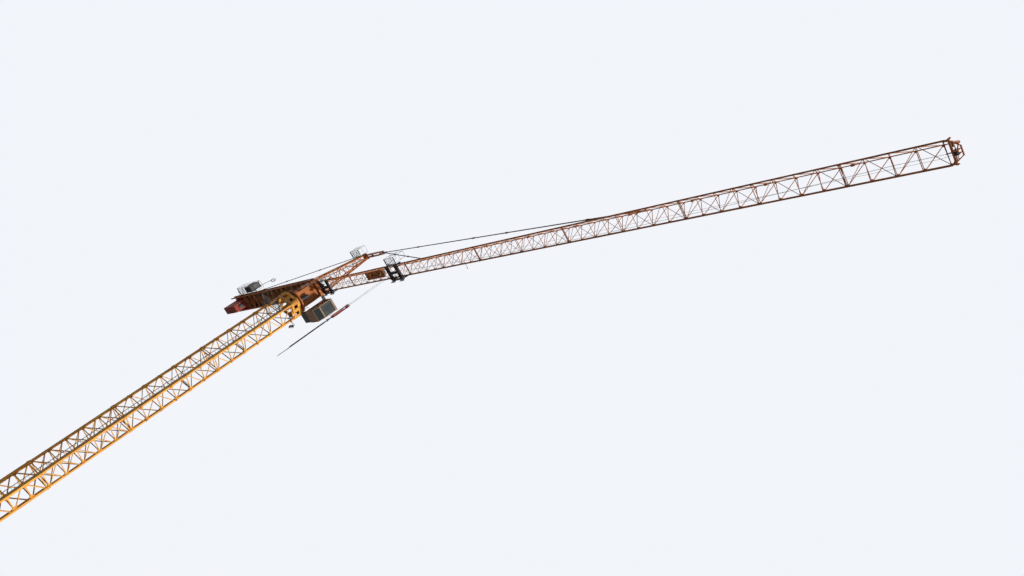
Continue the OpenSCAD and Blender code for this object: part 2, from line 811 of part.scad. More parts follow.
// Walking deck between the beams, on top of the cross beams
module counter_jib_deck() {
    z = zj + 30 + fit;
    color(rail_grey) {
        block([cross_x(cross_count - 3), -34, z], [counter_x1 - 95, 34, z + 3]);
    }
}

// Rear ties from the top of the head to the counter-jib
tie_x = -1450;
tie_y = beam_y0 + beam_w / 2;
module counter_jib_ties() {
    top = [head_lean - 30, 20, head_z1 + 16];
    foot_z = zj + beam_h + 12;
    color(dark_steel)
        for (s = [-1, 1]) {
            a = [top[0], s * top[1], top[2]];
            b = [tie_x, s * tie_y, foot_z];
            bar(a, b, 5);
            for (t = [0.06, 0.4, 0.72, 0.95]) {
                c = a * (1 - t) + b * t;
                d = (b - a) / norm(b - a);
                bar(c - d * 14, c + d * 14, 9);
            }
            block([tie_x - 16, s * tie_y - 4, zj + beam_h], [tie_x + 10, s * tie_y + 4, foot_z + 4]);
        }
}

// Counterweight: slabs hung side by side in the tail of the counter-jib
module counterweight() {
    slab = weight_len / weight_count;
    z0 = zj + beam_h + 20 - weight_h;
    color(weight_red) {
        for (i = [0 : weight_count - 1]) {
            x0 = -counter_len + 2 + i * slab;
            difference() {
                union() {
                    block([x0, -weight_w / 2, z0], [x0 + slab - 2, weight_w / 2, z0 + weight_h]);
                    // shoulders that rest on the beams
                    block([x0, -beam_y0 - beam_w + 3, zj + beam_h], [x0 + slab - 2, beam_y0 + beam_w - 3, zj + beam_h + 16]);
                }
                if (i == weight_count - 1)
                    block([x0 + slab - 14, -24, z0 + 60], [x0 + slab, 24, z0 + 112]);
            }
        }
    }
}

module hoist_winch() {
    x = -1640;
    z = zj + 30 + fit;
    color(dark_steel) {
        block([x - 100, -60, z], [x + 90, 60, z + 8]);
        for (y = [-50, 42])
            block([x - 40, y, z + 7], [x + 50, y + 8, z + 66]);
        rod_y(x, -43, 43, z + 42, 24);
        for (y = [-42, 38])
            rod_y(x, y, y + 4, z + 42, 32);
        block([x - 92, -46, z + 7], [x - 52, 40, z + 48]);
    }
}

module side_platform() {
    y0 = -(beam_y0 + beam_w) - fit;
    y1 = y0 - side_platform_w;
    x0 = -1960;
    x1 = -1490;
    z = zj + beam_h - 12;
    color(rail_grey) {
        block([x0, y1, z], [x1, y0, z + 4]);
        for (x = [x0 + 20 : 120 : x1])
            bar([x, y0, z - 26], [x, y1 + 10, z + 1], 5);
        railing([[x0 + 2, y0 - 3], [x0 + 2, y1 + 2], [(2 * x0 + x1) / 3, y1 + 2], [(x0 + 2 * x1) / 3, y1 + 2],
            [x1 - 2, y1 + 2], [x1 - 2, y0 - 3]], z + 4, rail_h);
    }
}

module electrical_cabinet() {
    y0 = -(beam_y0 + beam_w) - 10;
    z = zj + beam_h - 8 + fit;
    color([0.25, 0.26, 0.29]) {
        block([-1760, y0 - 62, z], [-1600, y0, z + 120]);
        block([-1766, y0 - 66, z + 120], [-1594, y0 + 4, z + 124]);
    }
}

module service_davit() {
    x = -1490 + fit + 3;
    y = -(beam_y0 + beam_w) - 30;
    z = zj + beam_h - 12;
    color(dark_steel) {
        bar([x, y, z], [x, y, z + 132], 6);
        bar([x, y, z + 128], [x + 90, y, z + 188], 4.5);
        difference() {
            rod_y(x + 110, y - 3, y + 3, z + 203, 24);
            rod_y(x + 110, y - 4, y + 4, z + 203, 15);
        }
    }
}

// Cab: profile seen from the side, with the lower front drawn back
cab_x1 = 240;
cab_x0 = cab_x1 - cab_l;
cab_z0 = zj - 30 - cab_h;
cab_z1 = cab_z0 + cab_h;
cab_y1 = cab_y + cab_w;
module cab_profile(inset) {
    polygon([
        [cab_x0 + inset, cab_z0 + inset], [cab_x1 - 30 - inset * 0.6, cab_z0 + inset],
        [cab_x1 - inset, cab_z0 + 62], [cab_x1 - inset, cab_z1 - inset], [cab_x0 + inset, cab_z1 - inset]
    ]);
}
module cab_solid(inset) {
    translate([0, cab_y1 - inset, 0])
        rotate([90, 0, 0])
            linear_extrude(cab_w - 2 * inset)
                cab_profile(inset);
}
front_window = [cab_z0 + 76, cab_z1 - 22];
side_windows = [[cab_x0 + 16, cab_x0 + 84], [cab_x0 + 100, cab_x1 - 14]];
module cab_shell() {
    color(cab_beige)
        difference() {
            cab_solid(0);
            cab_solid(cab_t);
            // front window
            block([cab_x1 - cab_t - 1, cab_y + 9, front_window[0]], [cab_x1 + 1, cab_y1 - 9, front_window[1]]);
            // side windows
            for (w = side_windows)
                block([w[0], cab_y - 1, cab_z0 + 90], [w[1], cab_y1 + 1, cab_z1 - 26]);
        }
}
module cab_windows() {
    pane = 2;
    color(glass_dark) {
        block([cab_x1 - cab_t + 1, cab_y + 9 + fit, front_window[0] + fit],
            [cab_x1 - cab_t + 1 + pane, cab_y1 - 9 - fit, front_window[1] - fit]);
        for (w = side_windows)
            for (y = [cab_y + 1, cab_y1 - 1 - pane])
                block([w[0] + fit, y, cab_z0 + 90 + fit], [w[1] - fit, y + pane, cab_z1 - 26 - fit]);
    }
}

// Walkway behind the cab and the beams that carry both
module cab_platform() {
    x0 = -100;
    floor_z = cab_z0 + 6;
    y0 = side_y1 + fit;
    color(rail_grey) {
        block([x0, cab_y, floor_z], [cab_x0 - fit, cab_y1, floor_z + 4]);
        block([x0, y0, floor_z], [x0 + 60, cab_y + 1, floor_z + 4]);
        railing([[x0 + 2, cab_y + 2], [x0 + 2, cab_y1 - 2], [(x0 + cab_x0) / 2, cab_y1 - 2], [cab_x0 - 4, cab_y1 - 2]],
            floor_z + 4, rail_h);
    }
    color(jib_orange) {
        for (x = [cab_x0 + 18, table_x - 16])
            block([x, y0, cab_z1 + fit], [x + 10, cab_y1, cab_z1 + fit + 14]);
    }
}

// Winch of the trolley rope inside the jib
winch_x0 = 1040;
winch_x1 = 1360;
module trolley_winch() {
    z = zj + web_d / 2 + fit;
    color(jib_orange) {
        difference() {
            block([winch_x0, -36, z], [winch_x1, 36, z + 3]);
            for (x = [winch_x0 + 70, winch_x1 - 110])
                block([x, -10, z - 1], [x + 60, 10, z + 4]);
        }
        for (x = [winch_x0 + 60, winch_x1 - 70])
            translate([x, 0, 0])
                rotate([90, 0, 90])
                    linear_extrude(5)
                        polygon([[-36, z + 2], [36, z + 2], [18, z + 56], [-18, z + 56]]);
    }
    color(dark_steel)
        translate([winch_x0 + 64, 0, z + 30])
            rotate([0, 90, 0])
                cylinder(h = winch_x1 - winch_x0 - 133, r = 15, $fn = 32);
}

// Frame of a trolley around x
module trolley_body(x) {
    for (s = [-1, 1]) {
        // side cheeks outside the wheels
        translate([x, s * (cheek_y0 + cheek_t / 2), zj])
            rotate([90, 0, 0])
                translate([0, 0, -cheek_t / 2])
                    linear_extrude(cheek_t)
                        polygon([
                            [-trolley_l / 2, -10], [-trolley_l / 2, 12], [-trolley_l / 2 + 30, 12],
                            [-trolley_l / 2 + 44, -8], [trolley_l / 2 - 44, -8], [trolley_l / 2 - 30, 12],
                            [trolley_l / 2, 12], [trolley_l / 2, -10], [trolley_l / 2 - 20, cross_z0],
                            [-trolley_l / 2 + 20, cross_z0]
                        ]);
    }
    // cross members
    for (dx = [-wheel_dx + 14, wheel_dx - 14])
        block([x + dx - 8, -cheek_y0 - 1, zj + cross_z0], [x + dx + 8, cheek_y0 + 1, zj + cross_z1]);
    // plates that carry the sheaves
    for (y = [-9, 9])
        block([x - wheel_dx + 14, y - 1.5, zj + cross_z0], [x + wheel_dx - 14, y + 1.5, zj + cross_z1 + 6]);
    // pointed feet under the cab side
    for (dx = [-wheel_dx + 14, wheel_dx - 14])
        translate([x + dx - 8, cheek_y0 + cheek_t, zj])
            rotate([90, 0, 90])
                linear_extrude(16)
                    polygon([[-1, cross_z0 + 26], [16, cross_z0], [6, cross_z0 - 26], [-1, cross_z0]]);
}
module trolley_axles(x) {
    for (dx = [-wheel_dx, wheel_dx])
        for (s = [-1, 1]) {
            y = s * wheel_y;
            rod_y(x + dx, y - wheel_w / 2, y + wheel_w / 2, zj + axle_z, wheel_r);
            rod_y(x + dx, s > 0 ? y - wheel_w / 2 - 0.5 : -cheek_y0 + fit, s > 0 ? cheek_y0 - fit : y + wheel_w / 2 + 0.5,
                zj + axle_z, 2.5);
        }
}
module trolley_rope_sheaves(x) {
    for (dx = [-sheave_dx, sheave_dx]) {
        rod_y(x + dx, -3, 3, zj + sheave_z, sheave_r);
        rod_y(x + dx, -7.5 + fit, 7.5 - fit, zj + sheave_z, 3);
    }
}
module trolley_frame() {
    color(dark_steel)
        trolley_body(trolley_x);
}
module trolley_wheels() {
    color(dark_steel)
        trolley_axles(trolley_x);
}
module trolley_sheaves() {
    color(dark_steel)
        trolley_rope_sheaves(trolley_x);
}
module parked_trolley() {
    color(dark_steel) {
        trolley_body(parked_x);
        trolley_axles(parked_x);
        trolley_rope_sheaves(parked_x);
    }
}

// Basket for work on the trolley, on the side away from the cab
module service_basket() {
    y0 = -(cheek_y0 + cheek_t) - fit;
    y1 = y0 - 58;
    x0 = trolley_x - 76;
    x1 = trolley_x + 76;
    z = zj - 26;
    color(rail_grey) {
        block([x0, y1, z], [x1, y0, z + 3]);
        railing([[x0 + 2, y0 - 3], [x0 + 2, y1 + 2], [trolley_x, y1 + 2], [x1 - 2, y1 + 2], [x1 - 2, y0 - 3]],
            z + 3, rail_h + 15);
    }
}

// Ropes along the jib: hoist rope and trolley rope
module jib_ropes() {
    color(dark_steel) {
        bar([jib_x0 + 40, 0, zj + rope_z], [tip_x + 59, 0, zj + rope_z], rope_d, 8);
    }
}

// Two falls of the hoist rope, from the trolley to the block
block_z1 = zj - block_drop;
block_z0 = block_z1 - block_h;
block_sheave_r = 15;
block_sheave_z = block_z1 - 24;
module hoist_rope_falls() {
    color(dark_steel)
        for (s = [-1, 1])
            bar([trolley_x + s * (sheave_dx + sheave_r + rope_d / 2 + fit), 0, zj + sheave_z],
                [trolley_x + s * (block_sheave_r + rope_d / 2 + fit), 0, block_sheave_z], rope_d, 8);
}

module block_cheeks() {
    color(block_red) {
        difference() {
            union() {
                for (s = [-1, 1])
                    translate([trolley_x, s > 0 ? 9 : -6, 0])
                        rotate([90, 0, 0])
                            linear_extrude(3)
                                polygon([
                                    [-block_w / 2 + 6, block_z1], [block_w / 2 - 6, block_z1],
                                    [block_w / 2, block_z1 - 12], [block_w / 2, block_z0 + 30],
                                    [block_w / 2 - 10, block_z0], [-block_w / 2 + 10, block_z0],
                                    [-block_w / 2, block_z0 + 30], [-block_w / 2, block_z1 - 12]
                                ]);
                block([trolley_x - 14, -7, block_z0 + 14], [trolley_x + 14, 7, block_z0 + 120]);
            }
            rod_y(trolley_x, -12, 12, block_sheave_z, 4 + fit);
        }
    }
}
module block_sheave() {
    color(dark_steel) {
        rod_y(trolley_x, -3, 3, block_sheave_z, block_sheave_r);
        rod_y(trolley_x, -11, 11, block_sheave_z, 4);
    }
}

// Hook: shank, round bowl and point
hook_z = block_z0 - 34;
bowl_r = 16;
module hook() {
    color(dark_steel) {
        translate([trolley_x, 0, hook_z + 10])
            cylinder(h = block_z0 + 14 - hook_z - 10 - fit, r = 5, $fn = 24);
        translate([trolley_x, 0, hook_z])
            rotate([90, 0, 0])
                rotate_extrude(angle = 250, $fn = 48, start = 90)
                    translate([bowl_r - 4, 0])
                        circle(r = 4.4, $fn = 20);
    }
}

// Chain sling: a ring in the hook and two legs
module chain_sling() {
    z = hook_z - 15.1;
    color(dark_steel) {
        for (s = [-1, 1])
            bar([trolley_x + s * 3, s * 4, z - 9], [trolley_x + s * 3, s * 4, z - sling_l + (s > 0 ? 0 : -90)], 5, 6);
        translate([trolley_x, 0, z])
            rotate([0, 90, 0])
                rotate_extrude($fn = 36)
                    translate([10, 0])
                        circle(r = 2.2, $fn = 16);
    }
}

base_cross();
base_mast();
reinforced_mast();
standard_mast_lower();
standard_mast_upper();
mast_ladder();
mast_landings();
service_platform();
mast_floodlight();
slewing_support();
slew_ring();
turntable();
slew_drives();
tower_head();
head_nose();
head_platform();
jib_root();
jib_length_1();
jib_length_2();
jib_length_3();
jib_length_4();
jib_length_5();
jib_length_6();
jib_tip();
inner_pendant();
outer_pendant();
counter_jib();
counter_jib_deck();
counter_jib_ties();
counterweight();
hoist_winch();
side_platform();
electrical_cabinet();
service_davit();
cab_shell();
cab_windows();
cab_platform();
trolley_winch();
parked_trolley();
jib_ropes();
trolley_frame();
trolley_wheels();
trolley_sheaves();
service_basket();
hoist_rope_falls();
block_cheeks();
block_sheave();
hook();
chain_sling();
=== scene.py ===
import math
import json
import bpy
import bmesh
from mathutils import Matrix, Vector


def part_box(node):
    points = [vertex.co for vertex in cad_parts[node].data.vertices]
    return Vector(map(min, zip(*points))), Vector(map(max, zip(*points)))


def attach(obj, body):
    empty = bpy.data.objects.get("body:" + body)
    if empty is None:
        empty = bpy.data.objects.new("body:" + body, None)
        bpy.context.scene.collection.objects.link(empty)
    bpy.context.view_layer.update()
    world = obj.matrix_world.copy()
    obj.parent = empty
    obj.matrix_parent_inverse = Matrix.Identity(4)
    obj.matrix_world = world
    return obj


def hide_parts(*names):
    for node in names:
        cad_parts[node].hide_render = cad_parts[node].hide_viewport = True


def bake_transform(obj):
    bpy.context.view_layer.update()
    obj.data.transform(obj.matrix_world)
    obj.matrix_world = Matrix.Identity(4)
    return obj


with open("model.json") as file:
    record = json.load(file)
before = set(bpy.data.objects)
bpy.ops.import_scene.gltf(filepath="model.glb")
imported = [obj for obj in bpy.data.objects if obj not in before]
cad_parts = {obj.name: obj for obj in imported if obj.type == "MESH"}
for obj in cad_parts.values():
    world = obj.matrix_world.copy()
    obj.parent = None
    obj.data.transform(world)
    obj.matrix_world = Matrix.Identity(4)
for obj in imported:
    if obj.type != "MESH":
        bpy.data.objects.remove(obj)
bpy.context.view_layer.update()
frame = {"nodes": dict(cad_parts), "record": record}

# The studio: a camera that stands low beside the mast and looks up along the jib, as the
# photograph does. The place and the lens come from a fit of mast and jib to the photograph.
camera_place = Vector((7.9404, -1.3408, 0.1849))
camera_right = Vector((0.6178005, 0.45808904, 0.63912203))
camera_up = Vector((0.09377459, -0.84990657, 0.51852209))
focal_px = 858.13
frame_px = 1024
camera_data = bpy.data.cameras.new("camera")
camera_data.sensor_width = 36.0
camera_data.lens = focal_px / frame_px * camera_data.sensor_width
camera_data.clip_end = 200.0
camera = bpy.data.objects.new("camera", camera_data)
camera_back = camera_right.cross(camera_up)
camera_turn = Matrix((camera_right, camera_up, camera_back)).transposed()
camera.matrix_world = Matrix.Translation(camera_place) @ camera_turn.to_4x4()
bpy.context.scene.collection.objects.link(camera)
bpy.context.scene.camera = camera
bpy.context.scene.view_settings.view_transform = "Standard"


# The lamps: a low warm key from the jib and cab side, where the sun stands in the
# photograph, narrow enough for fairly crisp shadows, and a weak, wide and cool one from below on the other side.
def lamp(name, towards, energy, spread, colour):
    data = bpy.data.lights.new(name, "SUN")
    data.energy = energy
    data.angle = math.radians(spread)
    data.color = colour
    thing = bpy.data.objects.new(name, data)
    thing.rotation_euler = Vector(towards).to_track_quat("Z", "Y").to_euler()
    bpy.context.scene.collection.objects.link(thing)


lamp("key", (0.77, 0.60, 0.23), 3.9, 7, (1.0, 0.90, 0.74))
lamp("fill", (0.3, -0.75, -0.35), 0.22, 60, (0.90, 0.94, 1.0))


# The room: a pale floor under the crossed base and a pale world, seen white by the camera
# and in glass and metal, while it lights the crane only softly.
class Wire:
    """One wire of a shader: a sum on wires adds the Math nodes that it needs."""

    def __init__(self, tree, socket):
        self.tree = tree
        self.socket = socket

    def maths(self, operation, *terms, clamp=False):
        node = self.tree.nodes.new("ShaderNodeMath")
        node.operation = operation
        node.use_clamp = clamp
        for slot, term in zip(node.inputs, terms):
            if isinstance(term, Wire):
                self.tree.links.new(term.socket, slot)
            else:
                slot.default_value = term
        return Wire(self.tree, node.outputs[0])

    def __add__(self, other):
        return self.maths("ADD", self, other)

    def __radd__(self, other):
        return self.maths("ADD", other, self)

    def __sub__(self, other):
        return self.maths("SUBTRACT", self, other)

    def __rsub__(self, other):
        return self.maths("SUBTRACT", other, self)

    def __mul__(self, other):
        return self.maths("MULTIPLY", self, other)

    def __rmul__(self, other):
        return self.maths("MULTIPLY", other, self)

    def between(self, low, high):
        """0 below low, 1 above high, and a straight ramp between them."""
        return self.maths("MULTIPLY", self - low, 1.0 / (high - low), clamp=True)


class Finish:
    """A finish being mixed: its nodes, its shader and the wires of the place on the surface."""

    def __init__(self, name):
        self.material = bpy.data.materials.new(name)
        self.material.use_nodes = True
        self.tree = self.material.node_tree
        self.shader = self.tree.nodes["Principled BSDF"]
        self.place = self.node("ShaderNodeTexCoord", out="Object")

    def feed(self, slot, value):
        if isinstance(value, Wire):
            self.tree.links.new(value.socket, slot)
        elif slot.type == "RGBA" and len(value) == 3:
            slot.default_value = (*value, 1.0)
        else:
            slot.default_value = value

    def node(self, kind, settings=None, out=0, **sockets):
        """A node of a kind: its settings first, then the values or wires of its sockets."""
        node = self.tree.nodes.new(kind)
        for name, value in (settings or {}).items():
            setattr(node, name, value)
        for name, value in sockets.items():
            self.feed(node.inputs[int(name[1:]) if name[1:].isdigit() else name.replace("_", " ")], value)
        return Wire(self.tree, node.outputs[out])

    def paint(self, **sockets):
        for name, value in sockets.items():
            self.feed(self.shader.inputs[name.replace("_", " ")], value)
        return self.material

    def noise(self, scale, detail=4.0, rough=0.55, stretch=(1.0, 1.0, 1.0)):
        place = self.node("ShaderNodeMapping", Vector=self.place, Scale=stretch)
        return self.node("ShaderNodeTexNoise", out="Fac", Vector=place, Scale=scale, Detail=detail, Roughness=rough)

    def mixed(self, mask, low, high):
        return self.node("ShaderNodeMix", {"data_type": "RGBA"}, out=2, _0=mask, _6=low, _7=high)

    def bump(self, height, distance, strength=0.5):
        return self.node("ShaderNodeBump", out="Normal", Height=height, Distance=distance, Strength=strength)


floor_size = 60.0
floor_mesh = bpy.data.meshes.new("floor")
shape = bmesh.new()
bmesh.ops.create_grid(shape, x_segments=1, y_segments=1, size=floor_size / 2)
shape.to_mesh(floor_mesh)
shape.free()
floor = bpy.data.objects.new("floor", floor_mesh)
floor.location.z = -0.0005
bpy.context.scene.collection.objects.link(floor)
floor_mesh.materials.append(Finish("floor_grey").paint(Base_Color=(0.40, 0.40, 0.41), Roughness=0.9))

world = bpy.data.worlds.new("room")
bpy.context.scene.world = world
world.use_nodes = True
tree = world.node_tree
background = tree.nodes["Background"]
path = tree.nodes.new("ShaderNodeLightPath")
seen = Wire(tree, path.outputs["Is Camera Ray"])
for ray in ("Is Glossy Ray", "Is Transmission Ray"):
    seen = seen.maths("MAXIMUM", seen, Wire(tree, path.outputs[ray]))
tree.links.new((0.17 + 0.79 * seen).socket, background.inputs["Strength"])
background.inputs["Color"].default_value = (0.93, 0.95, 1.0, 1.0)


# The crossed base: two welded box beams under the four corners of the mast, with an anchor
# plate at each end. Painted machine yellow, streaked by rain, and rusty where it is chipped.
def old_paint(name, fresh, faded, rust, rust_share=0.5, rough=0.55, streak=1.0, scale=1.0):
    """Weathered machine paint: faded patches, streaks that run down, rust in spots, a grainy coat."""
    finish = Finish(name)
    patches = finish.noise(5.0 * scale, 5.0).between(0.38, 0.66)
    streaks = finish.noise(60.0 * scale, 3.0, stretch=(1.0, 1.0, 0.12)).between(0.45, 0.75)
    spots = finish.noise(42.0 * scale, 8.0, 0.68).between(0.72 - 0.2 * rust_share, 0.80 - 0.2 * rust_share)
    film = finish.noise(130.0 * scale, 6.0, 0.7).between(0.5, 0.7)
    colour = finish.mixed(patches, fresh, faded)
    colour = finish.mixed(streaks * (0.45 * streak), colour, tuple(0.45 * part for part in rust))
    colour = finish.mixed(spots * (0.55 + 0.45 * film), colour, rust)
    return finish.paint(Base_Color=colour, Roughness=rough + 0.25 * spots + 0.1 * streaks,
                        Normal=finish.bump(film * 0.4 + spots, 0.0006, 0.45))


def dress(slot, material):
    """Gives every CAD piece of one material slot its finish."""
    for row in frame["record"]["subparts"]:
        if row["material_slot"] == slot:
            node = frame["nodes"][row["node"]]
            node.data.materials.clear()
            node.data.materials.append(material)


def block(shape, low, high, edge=0.0, place=Matrix()):
    """A box between two corners, with rounded edges where an edge radius is given."""
    size = Vector(high) - Vector(low)
    middle = Matrix.Translation((Vector(low) + Vector(high)) / 2)
    made = bmesh.ops.create_cube(shape, size=1.0, matrix=place @ middle @ Matrix.Diagonal((*size, 1.0)))
    if edge:
        edges = list({line for corner in made["verts"] for line in corner.link_edges})
        bmesh.ops.bevel(shape, geom=edges, offset=edge, offset_type="OFFSET", segments=2, profile=0.5,
                        affect="EDGES", material=-1)


def rod(shape, a, b, radius, sides=12, end=None, place=Matrix()):
    """A round bar from a to b, or a cone where the end has its own radius."""
    a, b = Vector(a), Vector(b)
    turn = (b - a).to_track_quat("Z", "Y").to_matrix().to_4x4()
    bmesh.ops.create_cone(shape, cap_ends=True, segments=sides, radius1=radius,
                          radius2=radius if end is None else end, depth=(b - a).length,
                          matrix=place @ Matrix.Translation((a + b) / 2) @ turn)


def plate(shape, outline, push, place=Matrix()):
    """A flat plate: an outline of points pushed out to its thickness."""
    corners = [shape.verts.new(point) for point in outline]
    face = shape.faces.new(corners)
    grown = bmesh.ops.extrude_face_region(shape, geom=[face])
    lifted = [part for part in grown["geom"] if isinstance(part, bmesh.types.BMVert)]
    bmesh.ops.translate(shape, verts=lifted, vec=Vector(push))
    bmesh.ops.transform(shape, matrix=place, verts=lifted + corners)


def bolt(shape, foot, out, radius, place=Matrix()):
    """A hexagon head on a washer, standing out from a face."""
    foot, out = Vector(foot), Vector(out)
    rod(shape, foot - 0.3 * out, foot + 0.35 * radius * out, 1.5 * radius, 8, place=place)
    rod(shape, foot, foot + 1.2 * radius * out, radius, 6, place=place)


def piece(shape, name, material, body, replaces=(), smooth=False):
    """Ends a shape drawn in millimetres: an object in metres, at the origin, that rides on a body if one is named."""
    bmesh.ops.recalc_face_normals(shape, faces=shape.faces)
    bmesh.ops.scale(shape, vec=(0.001, 0.001, 0.001), verts=shape.verts)
    if smooth:
        for face in shape.faces:
            face.smooth = True
    mesh = bpy.data.meshes.new(name)
    shape.to_mesh(mesh)
    shape.free()
    mesh.materials.append(material)
    thing = bpy.data.objects.new(name, mesh)
    bpy.context.scene.collection.objects.link(thing)
    if smooth:
        mesh.set_sharp_from_angle(angle=math.radians(40))
    if body:
        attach(thing, body)
    if replaces:
        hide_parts(*replaces)
    return thing


mast_yellow = old_paint("mast_yellow", (0.82, 0.42, 0.07), (0.66, 0.30, 0.05), (0.16, 0.055, 0.025), 0.5)
dark_steel = old_paint("dark_steel", (0.020, 0.021, 0.036), (0.032, 0.031, 0.045), (0.07, 0.03, 0.02), 0.35, 0.5)
dress("mast_paint", mast_yellow)
dress("dark_steel", dark_steel)

mast_r = 123.74
mast_half = 87.5
mast_turn = Matrix.Rotation(math.radians(36.3), 4, "Z")
corners = [mast_turn @ Matrix.Rotation(math.radians(90 * i), 4, "Z") for i in range(4)]
diagonals = [turn @ Matrix.Rotation(math.radians(-45), 4, "Z") for turn in corners]
shape = bmesh.new()
bolts = bmesh.new()
for turn in diagonals:
    for x in (-25, 25):
        for y in (-25, 25):
            rod(bolts, (mast_r + x, y, 1), (mast_r + x, y, 15), 1.9, 12, place=turn)
            rod(bolts, (mast_r + x, y, 3.6), (mast_r + x, y, 5), 5.0, 16, place=turn)
            rod(bolts, (mast_r + x, y, 4.8), (mast_r + x, y, 8.4), 3.5, 6, place=turn)
            rod(bolts, (mast_r + x, y, 8.6), (mast_r + x, y, 11.0), 3.5, 6, place=turn)
    for x in (-18, 18):
        for side in (-1, 1):
            rib = [(mast_r + x, side * 15, 4), (mast_r + x, side * 31, 4), (mast_r + x, side * 31, 6),
                   (mast_r + x, side * 15, 22)]
            plate(shape, rib, (2.2, 0, 0), turn)
piece(bolts, "anchor_bolts", dark_steel, "tower")
piece(shape, "anchor_ribs", mast_yellow, "tower")

# The mast: four square legs with splice collars, level bars and diagonals, bolted together in
# lengths. Cut plates are welded where bars meet, and each collar is drawn up by high bolts.
bay, base_bay, splice = 150, 146, 14
levels = [24 + base_bay * k for k in range(7)]
levels += [900 + bay * k for k in range(1, 18)]
shape = bmesh.new()
for z in levels[:-1]:
    heavy = z < 900
    node_z = z + 10
    reach = 30 if heavy else 24
    for turn in corners:
        for side in (-1, 1):
            inner = side * (mast_half - (11 if heavy else 9))
            gusset = [(mast_half - 1, inner, node_z - 0.6 * reach), (mast_half - 1, inner, node_z + reach),
                      (mast_half - 1, inner - side * reach, node_z + 3), (mast_half - 1, inner - side * reach, node_z - 3)]
            plate(shape, gusset, (2.0, 0, 0), turn)
piece(shape, "mast_gussets", mast_yellow, "tower")

splices = [24, 900, 1650, 1950, 2250, 2550, 2850, 3150, 3450]
shape = bmesh.new()
for z in splices:
    width = mast_half + (13.5 if z < 900 else 11.5)
    for turn in corners:
        for side in (-1, 1):
            for off in (-6, 6):
                for up in (-8, 8):
                    level = z + up
                    if 24 < level < 3450:
                        bolt(shape, (width, side * (mast_half + off), level), (1, 0, 0), 1.9, turn)
                        bolt(shape, (side * (mast_half + off), width, level), (0, 1, 0), 1.9, turn)
piece(shape, "splice_bolts", dark_steel, "tower")

# Climbing lugs: pairs of cut plates on the legs of the upper lengths, with a pin between
# them, by which the climbing frame once lifted the top of the crane.
shape = bmesh.new()
for z in (1800, 2100, 2400, 2700, 3000):
    for turn in corners[0:4:2]:
        for side in (-1, 1):
            for y in (-5, 5):
                lug = [(mast_half + 8.8, side * mast_half + y - 0.8, z - 14), (mast_half + 8.8, side * mast_half + y - 0.8, z + 12),
                       (mast_half + 14, side * mast_half + y - 0.8, z + 8), (mast_half + 17, side * mast_half + y - 0.8, z - 4)]
                plate(shape, lug, (0, 1.6, 0), turn)
            rod(shape, (mast_half + 12.5, side * mast_half - 7, z + 1), (mast_half + 12.5, side * mast_half + 7, z + 1), 1.8, 10,
                place=turn)
piece(shape, "climbing_lugs", mast_yellow, "tower")

# Ladder and landings inside the mast: bare galvanised steel that has gone grey, with clips
# where the stiles sit on their brackets.
galvanised = old_paint("galvanised", (0.075, 0.078, 0.090), (0.045, 0.047, 0.055), (0.09, 0.045, 0.03), 0.4, 0.5)
dress("galvanised", galvanised)
ladder_turn = corners[2]
shape = bmesh.new()
for z in (1060, 1360, 1960, 2560, 3160):
    for side in (-1, 1):
        block(shape, (38.5, side * 20 - 3.2, z - 5), (45.5, side * 20 + 3.2, z + 5), 0.6, ladder_turn)
        bolt(shape, (38.6, side * 20, z), (-1, 0, 0), 1.4, ladder_turn)
piece(shape, "ladder_clips", galvanised, "tower")

# Landings: open gratings beside the ladder, each a frame of flat bars filled with upright
# slats, which lie on the level bars of the mast.
def grating(shape, low, high, step=15.0, place=Matrix()):
    """An open floor between two corners: flat bars round it, and slats across its short way."""
    (x0, y0, z0), (x1, y1, z1) = low, high
    for a, b in (((x0, y0, z0), (x1, y0 + 2, z1)), ((x0, y1 - 2, z0), (x1, y1, z1)), ((x0, y0 + 2, z0), (x0 + 2, y1 - 2, z1)),
                 ((x1 - 2, y0 + 2, z0), (x1, y1 - 2, z1))):
        block(shape, a, b, place=place)
    count = int((x1 - x0 - 4) / step)
    for k in range(1, count + 1):
        x = x0 + 2 + k * (x1 - x0 - 4) / (count + 1)
        block(shape, (x - 0.5, y0 + 1.8, z1 - 2.2), (x + 0.5, y1 - 1.8, z1 - 0.2), place=place)
    for k in range(1, 4):
        y = y0 + k * (y1 - y0) / 4
        rod(shape, (x0 + 1, y, z1 - 0.8), (x1 - 1, y, z1 - 0.8), 0.5, 6, place=place)


shape = bmesh.new()
for z in (910, 1660, 2260, 2860):
    grating(shape, (-84, 40, z - 1.5), (84, 72, z + 1.5), place=corners[0])
    for x in (-80, 80):
        block(shape, (x - 2, 40, z - 3.4), (x + 2, 84, z - 1.4), place=corners[0])
piece(shape, "landings", galvanised, "tower", ("mast_landings",))

# Service platform: gratings on beams and struts that are clamped to the legs, with a tube
# railing and toe boards bent from sheet along its outer edges.
def railing(shape, points, deck_z, height, place=Matrix()):
    """Posts, a top rail, a knee rail and a toe board along a line of points."""
    for x, y in points:
        rod(shape, (x, y, deck_z), (x, y, deck_z + height), 1.5, 8, place=place)
        block(shape, (x - 3, y - 3, deck_z - 0.2), (x + 3, y + 3, deck_z + 1.4), 0.3, place)
    for a, b in zip(points, points[1:]):
        for level in (height - 1.3, height * 0.52):
            rod(shape, (*a, deck_z + level), (*b, deck_z + level), 1.25, 8, place=place)
        middle = (Vector(a) + Vector(b)) / 2
        run = Vector(b) - Vector(a)
        turn = Matrix.Translation((middle.x, middle.y, deck_z)) @ Matrix.Rotation(math.atan2(run.y, run.x), 4, "Z")
        block(shape, (-run.length / 2, -0.6, -0.2), (run.length / 2, 0.6, 7), 0.3, place @ turn)


